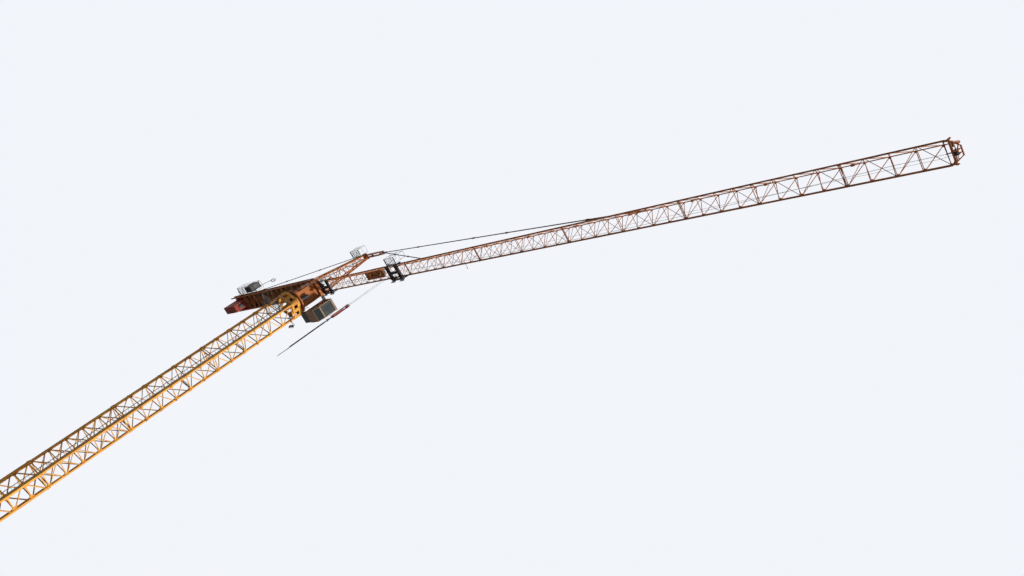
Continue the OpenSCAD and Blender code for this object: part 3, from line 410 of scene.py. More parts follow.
shape = bmesh.new()
inner, outer, level = 100, 175, 3320
grating(shape, (-inner, inner, level), (outer, outer, level + 4), place=ladder_turn)
sideways = Matrix(((0, 1, 0, 0), (1, 0, 0, 0), (0, 0, 1, 0), (0, 0, 0, 1)))
grating(shape, (-inner, inner, level), (inner, outer, level + 4), place=ladder_turn @ sideways)
edge, low = outer - 3.2, -inner + 3.2
railing(shape, [(edge, low), (edge, 0), (edge, edge), (0, edge), (low, edge)], level + 4, 105, ladder_turn)
for y in (-inner + 12, inner - 12):
    for flip in (Matrix(), sideways):
        block(shape, (96.9, y - 3, level - 6), (outer - 4, y + 3, level), 0.5, ladder_turn @ flip)
        rod(shape, (inner - 3, y, level - 60), (outer - 8, y, level - 4), 2.2, 10, place=ladder_turn @ flip)
piece(shape, "service_platform_dressed", galvanised, "tower", ("service_platform",))

# Floodlights: two cast housings with cooling fins and glass fronts on a bracket on the
# leg at the cab side: the larger hangs under it, outside the mast, and the smaller stands above it, inside.
shape = bmesh.new()
glass_shape = bmesh.new()
lamp_turn = diagonals[1]
lamp_x, lamp_z = mast_r + 13, 3402
for y in (-14, 14):
    rod(shape, (lamp_x - 50, y, lamp_z), (lamp_x + 52, y, lamp_z), 2.0, 12, place=lamp_turn)
block(shape, (lamp_x - 0.3, -17, lamp_z - 7), (lamp_x + 2, 17, lamp_z + 7), 0.6, lamp_turn)
for x, up, wide, tall in ((42, -30, 23, 19), (-42, 28, 17, 14)):
    base = lamp_turn @ Matrix.Translation((lamp_x + x, 0, lamp_z + up))
    tilt = base @ Matrix.Rotation(math.radians(35), 4, "Y")
    for side in (-1, 1):
        arm = side * (wide + 1.6)
        rod(shape, (0, arm, 0), (0, arm, -up), 1.4, 8, place=base)
        bolt(shape, (0, side * wide, 0), (0, side, 0), 1.7, tilt)
    rod(shape, (0, -wide - 2.6, -up), (0, wide + 2.6, -up), 1.4, 8, place=base)
    block(shape, (-10, -wide, -tall), (7, wide, tall), 2.4, tilt)
    block(shape, (6, -wide - 1, -tall - 1), (10, wide + 1, tall + 1), 1.0, tilt)
    for step in range(-4, 5):
        block(shape, (-14, step * wide / 5 - 0.6, -tall + 3), (-9.6, step * wide / 5 + 0.6, tall - 3), place=tilt)
    block(glass_shape, (9.6, -wide + 1.5, -tall + 1.5), (10.6, wide - 1.5, tall - 1.5), 0.4, tilt)
lamp_glass = Finish("lamp_glass").paint(Base_Color=(0.30, 0.33, 0.36), Roughness=0.12, Metallic=0.0, Coat_Weight=0.7)
piece(shape, "floodlights", dark_steel, "tower", ("mast_floodlight",))
piece(glass_shape, "floodlight_glass", lamp_glass, "tower")

# Slewing support: ribs stiffen the box on top of the mast under the ring, and a circle of
# bolts goes through its plate. The ring's own bolts stand on its upper face.
shape = bmesh.new()
bolts = bmesh.new()
box_face = 99.5
for turn in corners:
    for y in (-88, -14, 14, 88):
        rib = [(box_face - 0.4, y - 1.5, 3456), (box_face - 0.4, y - 1.5, 3533), (box_face + 6, y - 1.5, 3533), (box_face + 2.5, y - 1.5, 3470)]
        plate(shape, rib, (0, 3, 0), turn)
    for y in (-42, 42):
        for low, high in (((box_face - 0.2, y - 25, 3467), (box_face + 1.6, y + 25, 3471)),
                          ((box_face - 0.2, y - 25, 3511), (box_face + 1.6, y + 25, 3515)),
                          ((box_face - 0.2, y - 25, 3467), (box_face + 1.6, y - 21, 3515)),
                          ((box_face - 0.2, y + 21, 3467), (box_face + 1.6, y + 25, 3515))):
            block(shape, low, high, 0.5, turn)
for step in range(36):
    turn = Matrix.Rotation(math.tau * step / 36, 4, "Z")
    bolt(bolts, (79, 0, 3533.8), (0, 0, -1), 1.7, turn)
piece(shape, "support_ribs", mast_yellow, "tower")
piece(bolts, "support_bolts", dark_steel, "tower")

# Turntable: welded plates with flanges round their edges and ribs beside the pins. Its
# paint is redder than the mast's.
jib_orange = old_paint("jib_orange", (0.52, 0.165, 0.032), (0.40, 0.125, 0.030), (0.12, 0.04, 0.025), 0.65)
dress("jib_paint", jib_orange)
shape = bmesh.new()
bolts = bmesh.new()
zj = 3819
side_in, side_out = 72, 78
for side in (-1, 1):
    low, high = sorted((side * (side_out - 0.3), side * (side_out + 7)))
    for x in (-82, 79):
        block(shape, (x, low, 3569.2), (x + 3, high, zj - 92), 0.5)
    block(shape, (-110, low, zj - 92), (-80, high, zj - 89), 0.5)
    for x, top in ((-100, zj + 12), (-62, zj + 12), (-12, zj + 12), (96, zj + 12)):
        rib = [(x, side * (side_out - 0.3), zj - 34), (x, side * (side_out - 0.3), top), (x, side * (side_out + 5), top),
               (x, side * (side_out + 5), zj - 30)]
        plate(shape, rib, (2.4, 0, 0))
    for x in (-88, -36):
        rod(shape, (x, side * (side_out - 0.2), zj + 22.5), (x, side * (side_out + 2.6), zj + 22.5), 10.5, 24)
    for hole_x, hole_z, radius in ((0, 3655, 34), (-62, zj - 60, 18), (62, zj - 60, 18)):
        ring = bmesh.ops.create_circle(shape, cap_ends=False, segments=32, radius=radius + 2.4,
                                       matrix=Matrix.Translation((hole_x, side * side_out, hole_z))
                                       @ Matrix.Rotation(math.radians(90), 4, "X"))
        edges = list({line for corner in ring["verts"] for line in corner.link_edges})
        inside = bmesh.ops.extrude_edge_only(shape, edges=edges)
        moved = [part for part in inside["geom"] if isinstance(part, bmesh.types.BMVert)]
        bmesh.ops.scale(shape, vec=((radius + 0.2) / (radius + 2.4), 1, (radius + 0.2) / (radius + 2.4)), verts=moved,
                        space=Matrix.Translation((-hole_x, -side * side_out, -hole_z)))
        rim = list({face for corner in moved for face in corner.link_faces})
        thick = bmesh.ops.extrude_face_region(shape, geom=rim)
        bmesh.ops.translate(shape, vec=(0, side * 1.6, 0),
                            verts=[part for part in thick["geom"] if isinstance(part, bmesh.types.BMVert)])
for step in range(40):
    bolt(bolts, (112, 0, 3569), (0, 0, 1), 1.8, Matrix.Rotation(math.tau * (step + 0.5) / 40, 4, "Z"))
for step in range(32):
    bolt(bolts, (72, 0, 3569), (0, 0, 1), 1.8, Matrix.Rotation(math.tau * (step + 0.5) / 32, 4, "Z"))
piece(shape, "turntable_ribs", jib_orange, "upper")
piece(bolts, "turntable_bolts", dark_steel, "upper")

# Slewing motors: ribbed electric motors with a fan cowl and a terminal box, flanged onto
# their gear cases, which are bolted to the round table.
shape = bmesh.new()
for side in (-1, 1):
    x = side * 108
    place = Matrix.Translation((x, 0, 0))
    for step in range(16):
        turn = Matrix.Translation((x, 0, 0)) @ Matrix.Rotation(math.tau * step / 16, 4, "Z")
        block(shape, (14.6, -0.6, 3619), (17.2, 0.6, 3648), place=turn)
    rod(shape, (0, 0, 3649), (0, 0, 3658), 16.6, 32, place=place)
    rod(shape, (0, 0, 3658), (0, 0, 3661), 16.6, 32, 13, place=place)
    rod(shape, (0, 0, 3612), (0, 0, 3617), 18, 32, place=place)
    block(shape, (-8, 13, 3622), (8, 22, 3642), 1.2, place)
    for step in range(8):
        turn = place @ Matrix.Rotation(math.tau * step / 8, 4, "Z")
        bolt(shape, (14.6, 0, 3581), (0, 0, 1), 1.4, turn)
piece(shape, "slewing_motors", dark_steel, "upper")

# Tower head: gusset plates at the crossings of its four legs, a narrow ladder up its rear
# face, and the nose's sheave with a grooved rim. Everything is welded or pinned.
foot_y, top_y = 75, 22
head_z0, head_z1 = 3870, 4419


def head_point(front, side, share):
    foot = 75 if front else -75
    top = 150 if front else 90
    return Vector((foot + (top - foot) * share, side * (foot_y + (top_y - foot_y) * share), head_z0 + (head_z1 - head_z0) * share))


def gusset(shape, point, along, across, size, thick):
    """A cut plate at a crossing: it lies in the plane of two directions, round the point."""
    along, across = Vector(along).normalized(), Vector(across).normalized()
    normal = along.cross(across).normalized() * thick
    outline = [point + along * size - normal / 2, point + across * size * 0.9 + along * size * 0.3 - normal / 2,
               point + across * size * 0.9 - along * size * 0.3 - normal / 2, point - along * size - normal / 2]
    plate(shape, outline, normal)


shape = bmesh.new()
for share in (0.2, 0.38, 0.56, 0.76):
    for front in (0, 1):
        for side in (-1, 1):
            leg = head_point(front, side, 1) - head_point(front, side, 0)
            gusset(shape, head_point(front, side, share), leg, (1 - 2 * front, 0, 0), 15, 1.6)
            gusset(shape, head_point(front, side, share), leg, (0, -side, 0), 15, 1.6)
piece(shape, "head_gussets", jib_orange, "upper")

shape = bmesh.new()
low, high = head_point(0, 0, 0.03), head_point(0, 0, 0.97)
for side in (-1, 1):
    rod(shape, low + Vector((-6, side * 14, 0)), high + Vector((-6, side * 14, 0)), 1.3, 8)
    for share in (0.2, 0.38, 0.56, 0.76, 0.95):
        point = low.lerp(high, share)
        rod(shape, point + Vector((-6.5, side * 14, 0)), point + Vector((2, side * 14, 0)), 1.0, 6)
rungs = 26
for step in range(1, rungs):
    point = low.lerp(high, step / rungs) + Vector((-6, 0, 0))
    rod(shape, point + Vector((0, -14, 0)), point + Vector((0, 14, 0)), 0.9, 6)
piece(shape, "head_ladder", galvanised, "upper")


spare = bpy.data.meshes.new("spare")


def turned(shape, profile, centre, axis, steps=32):
    """A turned part: a profile of (distance along the axis, radius) spun round a full circle."""
    centre, axis = Vector(centre), Vector(axis).normalized()
    radial = axis.orthogonal().normalized()
    part = bmesh.new()
    points = [part.verts.new(centre + axis * along + radial * radius) for along, radius in profile]
    lines = [part.edges.new(pair) for pair in zip(points, points[1:])]
    bmesh.ops.spin(part, geom=points + lines, cent=centre, axis=axis, angle=math.tau, steps=steps, use_merge=True)
    bmesh.ops.remove_doubles(part, verts=part.verts, dist=0.004)
    part.to_mesh(spare)
    part.free()
    shape.from_mesh(spare)


def sheave(shape, centre, radius, width, hub):
    """A rope wheel across the crane: a grooved rim, a thin web and a hub."""
    half = width / 2
    right = [(0, radius - 1.9), (half * 0.55, radius), (half, radius), (half, radius - 2.6), (half * 0.4, radius - 3.2),
             (half * 0.4, hub + 0.5), (half + 0.6, hub), (half + 0.6, 0.003)]
    left = [(-along, reach) for along, reach in reversed(right[1:])]
    turned(shape, left + right, centre, (0, 1, 0), 36)


shape = bmesh.new()
sheave(shape, (470, 0, 4423), 15.5, 7.6, 5)
for side in (-1, 1):
    rod(shape, (470, side * 15.2, 4423), (470, side * 17.5, 4423), 5, 16)
    rod(shape, (500, side * 19.2, 4409), (500, side * 20.6, 4409), 5.2, 16)
piece(shape, "nose_sheave", dark_steel, "upper")
shape = bmesh.new()
for side in (-1, 1):
    for start, end in (((180, 4444), (438, 4427)), ((206, 4402), (438, 4395))):
        rod(shape, (start[0], side * 15.6, start[1]), (end[0], side * 15.6, end[1]), 1.3, 8)
    rod(shape, (500, side * 14.9, 4409), (500, side * 16.6, 4409), 8.5, 24)
piece(shape, "nose_edge_bars", jib_orange, "upper")

# Head platform: an open grating with a tube railing beside the top of the head, on two
# brackets from the legs.
shape = bmesh.new()
(x0, y1, deck_z), (x1, y0, rail_z) = [[part * 1000 for part in corner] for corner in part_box("head_platform")]
grating(shape, (x0, y1, deck_z), (x1, y0, deck_z + 3))
railing(shape, [(x0 + 2, y0 - 2), (x0 + 2, y1 + 2), ((x0 + x1) / 2, y1 + 2), (x1 - 2, y1 + 2), (x1 - 2, y0 - 2)],
        deck_z + 3, rail_z - deck_z - 3)
for x in (x0 + 60, x1 - 30):
    rod(shape, (x, y0 + 6, deck_z - 40), (x, y1 + 12, deck_z + 0.5), 1.8, 8)
    rod(shape, (x, y0 + 6, deck_z - 1), (x, y1 + 6, deck_z - 1), 1.6, 8)
piece(shape, "head_platform_dressed", galvanised, "upper", ("head_platform",))

# Jib: a long three-chord lattice in bolted lengths, of square tubes below, a round tube above
# and thin round diagonals. The tubes grow lighter outwards. A narrow flange for the trolley
# wheels runs outside each lower chord, in line from foot to end.
jib_x0, panel, jib_half, jib_high = 133, 125, 57, 113
tip_x = jib_x0 + 49 * panel
chord_out, runner_out = 61.0, 64.2
chord_low = zj - 4.0


def bar(shape, a, b, width, place=Matrix()):
    """A square bar from a to b, with its flats level."""
    a, b = Vector(a), Vector(b)
    run = b - a
    turn = Matrix.Rotation(math.atan2(run.y, run.x), 4, "Z") @ Matrix.Rotation(math.atan2(math.hypot(run.x, run.y), run.z), 4, "Y")
    bmesh.ops.create_cone(shape, cap_ends=True, segments=4, radius1=width / math.sqrt(2), radius2=width / math.sqrt(2),
                          depth=run.length, matrix=place @ Matrix.Translation((a + b) / 2) @ turn @ Matrix.Rotation(math.pi / 4, 4, "Z"))


def low_point(i, side):
    return Vector((jib_x0 + i * panel, side * jib_half, zj))


def top_point(i):
    return Vector((jib_x0 + i * panel, 0, zj + jib_high))


def lattice(shape, first, last, width, chord_start=None):
    """The jib between two panel points: chords, wheel flanges, diagonals and the bars of its floor."""
    start_x = low_point(first, 1).x if chord_start is None else chord_start
    end_x = low_point(last, 1).x
    for side in (-1, 1):
        y = side * (chord_out - width / 2)
        bar(shape, (start_x, y, chord_low + width / 2), (end_x, y, chord_low + width / 2), width)
        low, high = sorted((side * (chord_out - 0.3), side * runner_out))
        block(shape, (start_x, low, chord_low), (end_x, high, chord_low + 1.6))
    step = Vector((6.5, 0, 0))
    for i in range(first, last):
        for side in (-1, 1):
            if i > 0:
                rod(shape, low_point(i, side) + step, top_point(i + 0.5), 2.1, 8)
            rod(shape, top_point(i + 0.5), low_point(i + 1, side) - step, 2.1, 8)
        if i > first:
            rod(shape, low_point(i, -1), low_point(i, 1), 1.9, 8)
        side = -1 if i % 2 == 0 else 1
        rod(shape, low_point(i, side) + step, low_point(i + 1, -side) - step, 1.6, 6)


def joint(shape, i, way):
    """The collars and level bar at one end of a length."""
    x = low_point(i, 1).x
    low_x, high_x = sorted((x + 0.15 * way, x + 10 * way))
    for side in (-1, 1):
        low, high = sorted((side * (chord_out - 8.6), side * (chord_out + 0.3)))
        block(shape, (low_x, low, chord_low - 0.6), (high_x, high, chord_low + 8.8), 0.5)
    rod(shape, low_point(i, -1) + Vector((way * 7, 0, 0)), low_point(i, 1) + Vector((way * 7, 0, 0)), 2.1, 8)
    block(shape, (low_x, -5.6, zj + jib_high - 5.6), (high_x, 5.6, zj + jib_high + 5.6), 0.8)


def gussets(shape, first, last):
    """Cut plates at the foot of each pair of diagonals and under the top chord."""
    for i in range(first, last):
        for side in (-1, 1):
            across = Vector((0, -side * jib_half, jib_high)).normalized()
            if i > first:
                gusset(shape, low_point(i, side) + across * 2, (1, 0, 0), across, 9, 1.2)
            gusset(shape, top_point(i + 0.5) + Vector((0, side * 1.5, 0)) - across * 2, (1, 0, 0), -across, 9, 1.2)


widths = [8.0, 8.0, 7.4, 6.8, 6.2, 5.6]
pendant_feet = (jib_x0 + 14 * panel, jib_x0 + 34 * panel)
lug_z = zj + jib_high + 13
for n in range(1, 7):
    shape = bmesh.new()
    first, last = 1 + (n - 1) * 8, 1 + n * 8
    width = widths[n - 1]
    lattice(shape, first, last, width)
    rod(shape, top_point(first), top_point(last), width / 2, 8)
    gussets(shape, first, last)
    for i, way in ((first, 1), (first + 4, -1), (first + 4, 1), (last, -1)):
        joint(shape, i, way)
    for foot in pendant_feet:
        if low_point(first, 1).x < foot < low_point(last, 1).x:
            lug = [(foot - 16, -3, lug_z - 12), (foot + 16, -3, lug_z - 12), (foot + 7, -3, lug_z + 4), (foot + 3, -3, lug_z + 7),
                   (foot - 3, -3, lug_z + 7), (foot - 7, -3, lug_z + 4)]
            plate(shape, lug, (0, 6, 0))
    if n == 3:
        arm_x = low_point(19, 1).x + 18
        rod(shape, (arm_x, jib_half - 12, zj + 22), (arm_x, jib_half + 56, zj + 20), 1.9, 8)
        rod(shape, (arm_x, jib_half + 52, zj + 14), (arm_x, jib_half + 52, zj + 22), 3.0, 10)
    piece(shape, "jib_length_%d_dressed" % n, jib_orange, "upper", ("jib_length_%d" % n,))

shape = bmesh.new()
lattice(shape, 0, 1, 8.0, jib_x0 + 12)
joint(shape, 1, -1)
for side in (-1, 1):
    block(shape, (jib_x0 + 2, side * jib_half - 5, zj - 6), (jib_x0 + 30, side * jib_half + 5, zj + 6), 1.5)
    turned(shape, [(-5.0, 4.3), (-5.0, 8), (5.0, 8), (5.0, 4.3), (-5.0, 4.3)], (jib_x0, side * jib_half, zj), (0, 1, 0), 32)
    rod(shape, low_point(0, side) + Vector((16, 0, 2)), top_point(0.5), 2.8, 10)
rod(shape, top_point(0.5) - Vector((8, 0, 0)), top_point(1), 4.0, 8)
rod(shape, low_point(0, -1) + Vector((22, 0, 0)), low_point(0, 1) + Vector((22, 0, 0)), 2.4, 8)
piece(shape, "jib_root_dressed", jib_orange, "upper", ("jib_root",))

# Joints: pins through the collars of the lower chords and bolts through the top ones hold
# the lengths together. At the foot, a keeper plate holds each of the two pins in its fork.
shape = bmesh.new()
for i in range(1, 50, 4):
    x = jib_x0 + i * panel
    for side in (-1, 1):
        for off in (-5.5, 5.5):
            rod(shape, (x + off, side * 50.4, zj + 0.2), (x + off, side * 53.4, zj + 0.2), 2.4, 10)
            bolt(shape, (x + off, side * 56.6, zj + 4.7), (0, 0, 1), 1.5)
            bolt(shape, (x + off, side * 5.5, zj + jib_high + 1), (0, side, 0), 1.6)
for side in (-1, 1):
    rod(shape, (jib_x0, side * jib_half - 12, zj), (jib_x0, side * jib_half + 12, zj), 4.0, 20)
    for way in (-1, 1):
        y = side * jib_half + way * 12
        rod(shape, (jib_x0, y - 0.2 * way, zj), (jib_x0, y + 1.6 * way, zj), 5.6, 20)
        block(shape, (jib_x0 - 9, min(y, y - 3.2 * way), zj + 3), (jib_x0 - 5, max(y, y - 3.2 * way), zj + 8), 0.4)
piece(shape, "jib_pins_and_bolts", dark_steel, "upper")

# Jib end: a bolted frame with a heavy cross bar, drawn in to the wheel that turns the trolley
# rope back. The end of the hoist rope is held here by a thimble and clips.
shape = bmesh.new()
for side in (-1, 1):
    block(shape, (tip_x, side * 57 - 4, zj - 4), (tip_x + 20, side * 57 + 4, zj + 4), 0.8)
    rod(shape, (tip_x + 4, side * 57, zj), (tip_x + 4, 0, zj + jib_high), 3.0, 10)
    rod(shape, (tip_x + 16, side * 52, zj), (tip_x + 58, side * 22, zj), 2.5, 10)
    block(shape, (tip_x + 25, side * 9 - 1.5, zj - 28), (tip_x + 51, side * 9 + 1.5, zj + 5), 0.6)
    plate(shape, [(tip_x + 12, side * 61, zj - 4), (tip_x + 26, side * 61, zj - 4), (tip_x + 26, side * 61, zj + 10), (tip_x + 12, side * 61, zj + 16)],
          (0, side * 2.4, 0))
bar(shape, (tip_x + 16, -64, zj + 1.4), (tip_x + 16, 64, zj + 1.4), 9)
bar(shape, (tip_x + 57, -25, zj), (tip_x + 57, 25, zj), 6)
rod(shape, (tip_x + 32, -39, zj), (tip_x + 32, 39, zj), 2.0, 8)
rod(shape, (tip_x, 0, zj + jib_high), (tip_x + 10, 0, zj + jib_high), 3.2, 8)
rod(shape, (tip_x + 6, -30, zj + 56), (tip_x + 6, 30, zj + 56), 2.0, 8)
piece(shape, "jib_end_frame", jib_orange, "upper", ("jib_tip",))
shape = bmesh.new()
sheave(shape, (tip_x + 38, 0, zj - 21), 12.2, 8.4, 4)
rod(shape, (tip_x + 38, -12, zj - 21), (tip_x + 38, 12, zj - 21), 2.6, 12)
rod(shape, (tip_x + 16, -60, zj + 5), (tip_x + 16, -60, zj + 19), 4, 20)
block(shape, (tip_x + 8, -46, zj + 4), (tip_x + 26, -20, zj + 16), 1.2)
block(shape, (tip_x + 10, 24, zj + 5), (tip_x + 22, 46, zj + 14), 1.2)
rod(shape, (tip_x + 2, 0, zj - 9), (tip_x + 17, 0, zj - 3), 2.2, 10)
for x in (-6, 0, 6):
    block(shape, (tip_x - 2 + x, -2.6, zj - 12), (tip_x + 0.4 + x, 2.6, zj - 6.5), 0.6)
piece(shape, "jib_end_fittings", dark_steel, "upper")

# Pendants: flat bars in lengths, pinned to each other through link plates. Each runs from a
# fork on the nose pin to a fork round its lug on the top chord.
nose_pin = Vector((500, 0, 4409))
# The pendants' and ties' near-black brown is partly their own dark coat and partly painted shade.
pendant_dark_and_painted_shade = old_paint("pendant_dark_and_painted_shade", (0.050, 0.024, 0.020), (0.034, 0.020, 0.020), (0.09, 0.035, 0.02), 0.5, 0.5)
shape = bmesh.new()
for foot_x, shares, spread in ((pendant_feet[0], (0.3, 0.62), 3.2), (pendant_feet[1], (0.2, 0.46, 0.59, 0.85), 8.0)):
    foot = Vector((foot_x, 0, lug_z))
    run = (foot - nose_pin).normalized()
    tilt = run.to_track_quat("X", "Z").to_matrix().to_4x4()
    for end, way, apart in ((nose_pin, 1, spread), (foot, -1, 4.8)):
        for side in (-1, 1):
            y = Vector((0, side * apart, 0))
            bar(shape, end + y + run * way * 2, end + run * way * 72 + Vector((0, side * 1.6, 0)), 3.4)
            rod(shape, end + y - Vector((0, 1.4, 0)), end + y + Vector((0, 1.4, 0)), 6, 20)
    bar(shape, nose_pin + run * 62, foot - run * 62, 6.4)
    rod(shape, foot - Vector((0, 9, 0)), foot + Vector((0, 9, 0)), 3, 16)
    for middle in [nose_pin.lerp(foot, share) for share in shares] + [nose_pin + run * 70, foot - run * 70]:
        block(shape, (-18, -5, -6.5), (18, 5, 6.5), 1.2, Matrix.Translation(middle) @ tilt)
        for off in (-9, 9):
            rod(shape, middle + run * off - Vector((0, 6.4, 0)), middle + run * off + Vector((0, 6.4, 0)), 2.8, 12)
rod(shape, nose_pin - Vector((0, 19, 0)), nose_pin + Vector((0, 19, 0)), 3, 16)
piece(shape, "pendants", pendant_dark_and_painted_shade, "upper", ("inner_pendant", "outer_pendant"))

# Trolley winch: a small drum in the jib, wound with the rope that pulls the trolley, with a
# flanged motor at one end.
def windings(radius, start, end, rope):
    """The profile of a drum with its rope wound on: one round ridge for each turn."""
    turns = int((end - start) / rope)
    profile = [(start, radius)]
    for turn in range(turns):
        for quarter in (0.12, 0.32, 0.5, 0.68, 0.88):
            rise = math.sin(math.pi * quarter) * rope * 0.5
            profile.append((start + (turn + quarter) * rope, radius + rise))
    return profile + [(start + turns * rope, radius)]


winch_x0, winch_x1, winch_z = 1040, 1360, zj + 32.55
shape = bmesh.new()
turned(shape, windings(15.1, 6, 180, 1.5), (winch_x0 + 64, 0, winch_z), (1, 0, 0), 24)
piece(shape, "trolley_rope_on_drum", dark_steel, "upper", smooth=True)
shape = bmesh.new()
for x in (winch_x0 + 66, winch_x1 - 78):
    turned(shape, [(0, 14), (0, 21), (2.4, 21), (2.4, 14)], (x, 0, winch_z), (1, 0, 0), 28)
turned(shape, [(0, 0.003), (0, 12), (4, 12), (4, 10), (34, 10), (36, 8.5), (36, 0.003)], (winch_x0 + 60, 0, winch_z), (-1, 0, 0), 24)
for step in range(12):
    turn = Matrix.Translation((0, 0, winch_z)) @ Matrix.Rotation(math.tau * step / 12, 4, "X")
    block(shape, (winch_x0 + 28, -0.5, 9.6), (winch_x0 + 54, 0.5, 11.6), place=turn)
block(shape, (winch_x1 - 60, -12, winch_z - 16), (winch_x1 - 34, 12, winch_z + 12), 2.0)
for x, y in ((1052, -30), (1052, 30), (1340, -30), (1340, 30)):
    bolt(shape, (x, y, zj + 5.4), (0, 0, 1), 1.6)
piece(shape, "trolley_winch_drive", dark_steel, "upper")

# Counter-jib: web plates stiffen its channels at each cross beam, and bolts hold the deck.
# The deck is ribbed sheet, grey with dust.
shape = bmesh.new()
bolts = bmesh.new()
cross_xs = [-134 - 130 * i for i in range(16)]
for x in cross_xs:
    for side in (-1, 1):
        low, high = sorted((side * 83.8, side * 92.6))
        block(shape, (x - 1.5, low, zj + 4.8), (x + 1.5, high, zj + 40.2))
        if x > -1500:
            bolt(bolts, (x, side * 70, zj + 33.2), (0, 0, 1), 1.6)
for side in (-1, 1):
    for x in (-88, -36):
        rod(bolts, (x, side * 95.8, zj + 22.5), (x, side * 98.2, zj + 22.5), 7.2, 20)
piece(shape, "counter_jib_webs", jib_orange, "upper")
piece(bolts, "deck_bolts", dark_steel, "upper")
tread = Finish("deck_tread")
grain = tread.noise(9.0, 6.0).between(0.35, 0.7)
ribs = tread.node("ShaderNodeTexWave", {"wave_type": "BANDS", "bands_direction": "X"}, out="Fac", Vector=tread.place, Scale=40.0)
deck_tread = tread.paint(Base_Color=tread.mixed(grain, (0.16, 0.11, 0.07), (0.09, 0.055, 0.035)), Roughness=0.62 + 0.2 * grain,
                         Normal=tread.bump(ribs + 0.3 * grain, 0.0012, 0.6))
shape = bmesh.new()
for k in range(8):
    x = -1540 + k * 177.6
    block(shape, (x, -78, zj + 30.3), (x + 176.4, 78, zj + 32.6), 0.4)
    for side in (-1, 1):
        low, high = sorted((side * 76.6, side * 78))
        block(shape, (x, low, zj + 32), (x + 176.4, high, zj + 38), 0.3)
piece(shape, "walking_deck", deck_tread, "upper", ("counter_jib_deck",))

# Rear ties: square bars in lengths from the top of the head to lugs on the counter-jib, with
# a pin through each link plate and each foot.
shape = bmesh.new()
for side in (-1, 1):
    start, end = Vector((90, side * 20, 4435)), Vector((-1450, side * 87, zj + 57))
    run = (end - start).normalized()
    tilt = run.to_track_quat("X", "Z").to_matrix().to_4x4()
    bar(shape, start, end, 6.0)
    for share in (0.06, 0.4, 0.72, 0.95):
        middle = start.lerp(end, share)
        block(shape, (-17, -4.6, -6), (17, 4.6, 6), 1.2, Matrix.Translation(middle) @ tilt)
        for off in (-8, 8):
            rod(shape, middle + run * off + Vector((0, -6.4, 0)), middle + run * off + Vector((0, 6.4, 0)), 2.4, 12)
    block(shape, (-1466, side * 87 - 4, zj + 45), (-1440, side * 87 + 4, zj + 61), 1.0)
    rod(shape, (-1450, side * 87 - 6, zj + 57), (-1450, side * 87 + 6, zj + 57), 3.0, 14)
piece(shape, "rear_ties", pendant_dark_and_painted_shade, "upper", ("counter_jib_ties",))

# Counterweight: cast slabs in a red coat, pocked where the form left air, each with two
# bent lifting bars cast into its top.
weight = Finish("weight_red")
pocks = weight.noise(160.0, 2.0, 0.4).between(0.66, 0.72)
washed = weight.noise(7.0, 5.0).between(0.35, 0.68)
runs = weight.noise(40.0, 3.0, stretch=(1.0, 1.0, 0.1)).between(0.5, 0.8)
coat = weight.mixed(washed, (0.30, 0.036, 0.022), (0.23, 0.030, 0.022))
coat = weight.mixed(0.5 * runs, coat, (0.08, 0.022, 0.02))
weight_red = weight.paint(Base_Color=weight.mixed(0.8 * pocks, coat, (0.12, 0.05, 0.04)), Roughness=0.72 + 0.15 * pocks,
                          Normal=weight.bump(1.0 - pocks, 0.0012, 0.5))
dress("weight_paint", weight_red)


def pipe(shape, points, radius, sides=10):
    """A bent bar or tube: straight runs, with a round knuckle at each bend."""
    for a, b in zip(points, points[1:]):
        rod(shape, a, b, radius, sides)
    for point in points[1:-1]:
        bmesh.ops.create_icosphere(shape, subdivisions=2, radius=radius * 1.01, matrix=Matrix.Translation(point))


shape = bmesh.new()
slab = 330 / 4
for i in range(4):
    x = -2214 + 2 + (i + 0.5) * slab - 1
    for side in (-1, 1):
        y = side * 54
        bend = [(x - 12, y, zj + 59), (x - 12, y, zj + 68), (x - 8, y, zj + 72.5), (x, y, zj + 74), (x + 8, y, zj + 72.5),
                (x + 12, y, zj + 68), (x + 12, y, zj + 59)]
        pipe(shape, [Vector(point) for point in bend], 1.8, 8)
block(shape, (-1879, -20, zj - 92), (-1875.4, 20, zj - 30), 1.0)
piece(shape, "lifting_bars", dark_steel, "upper", smooth=True)

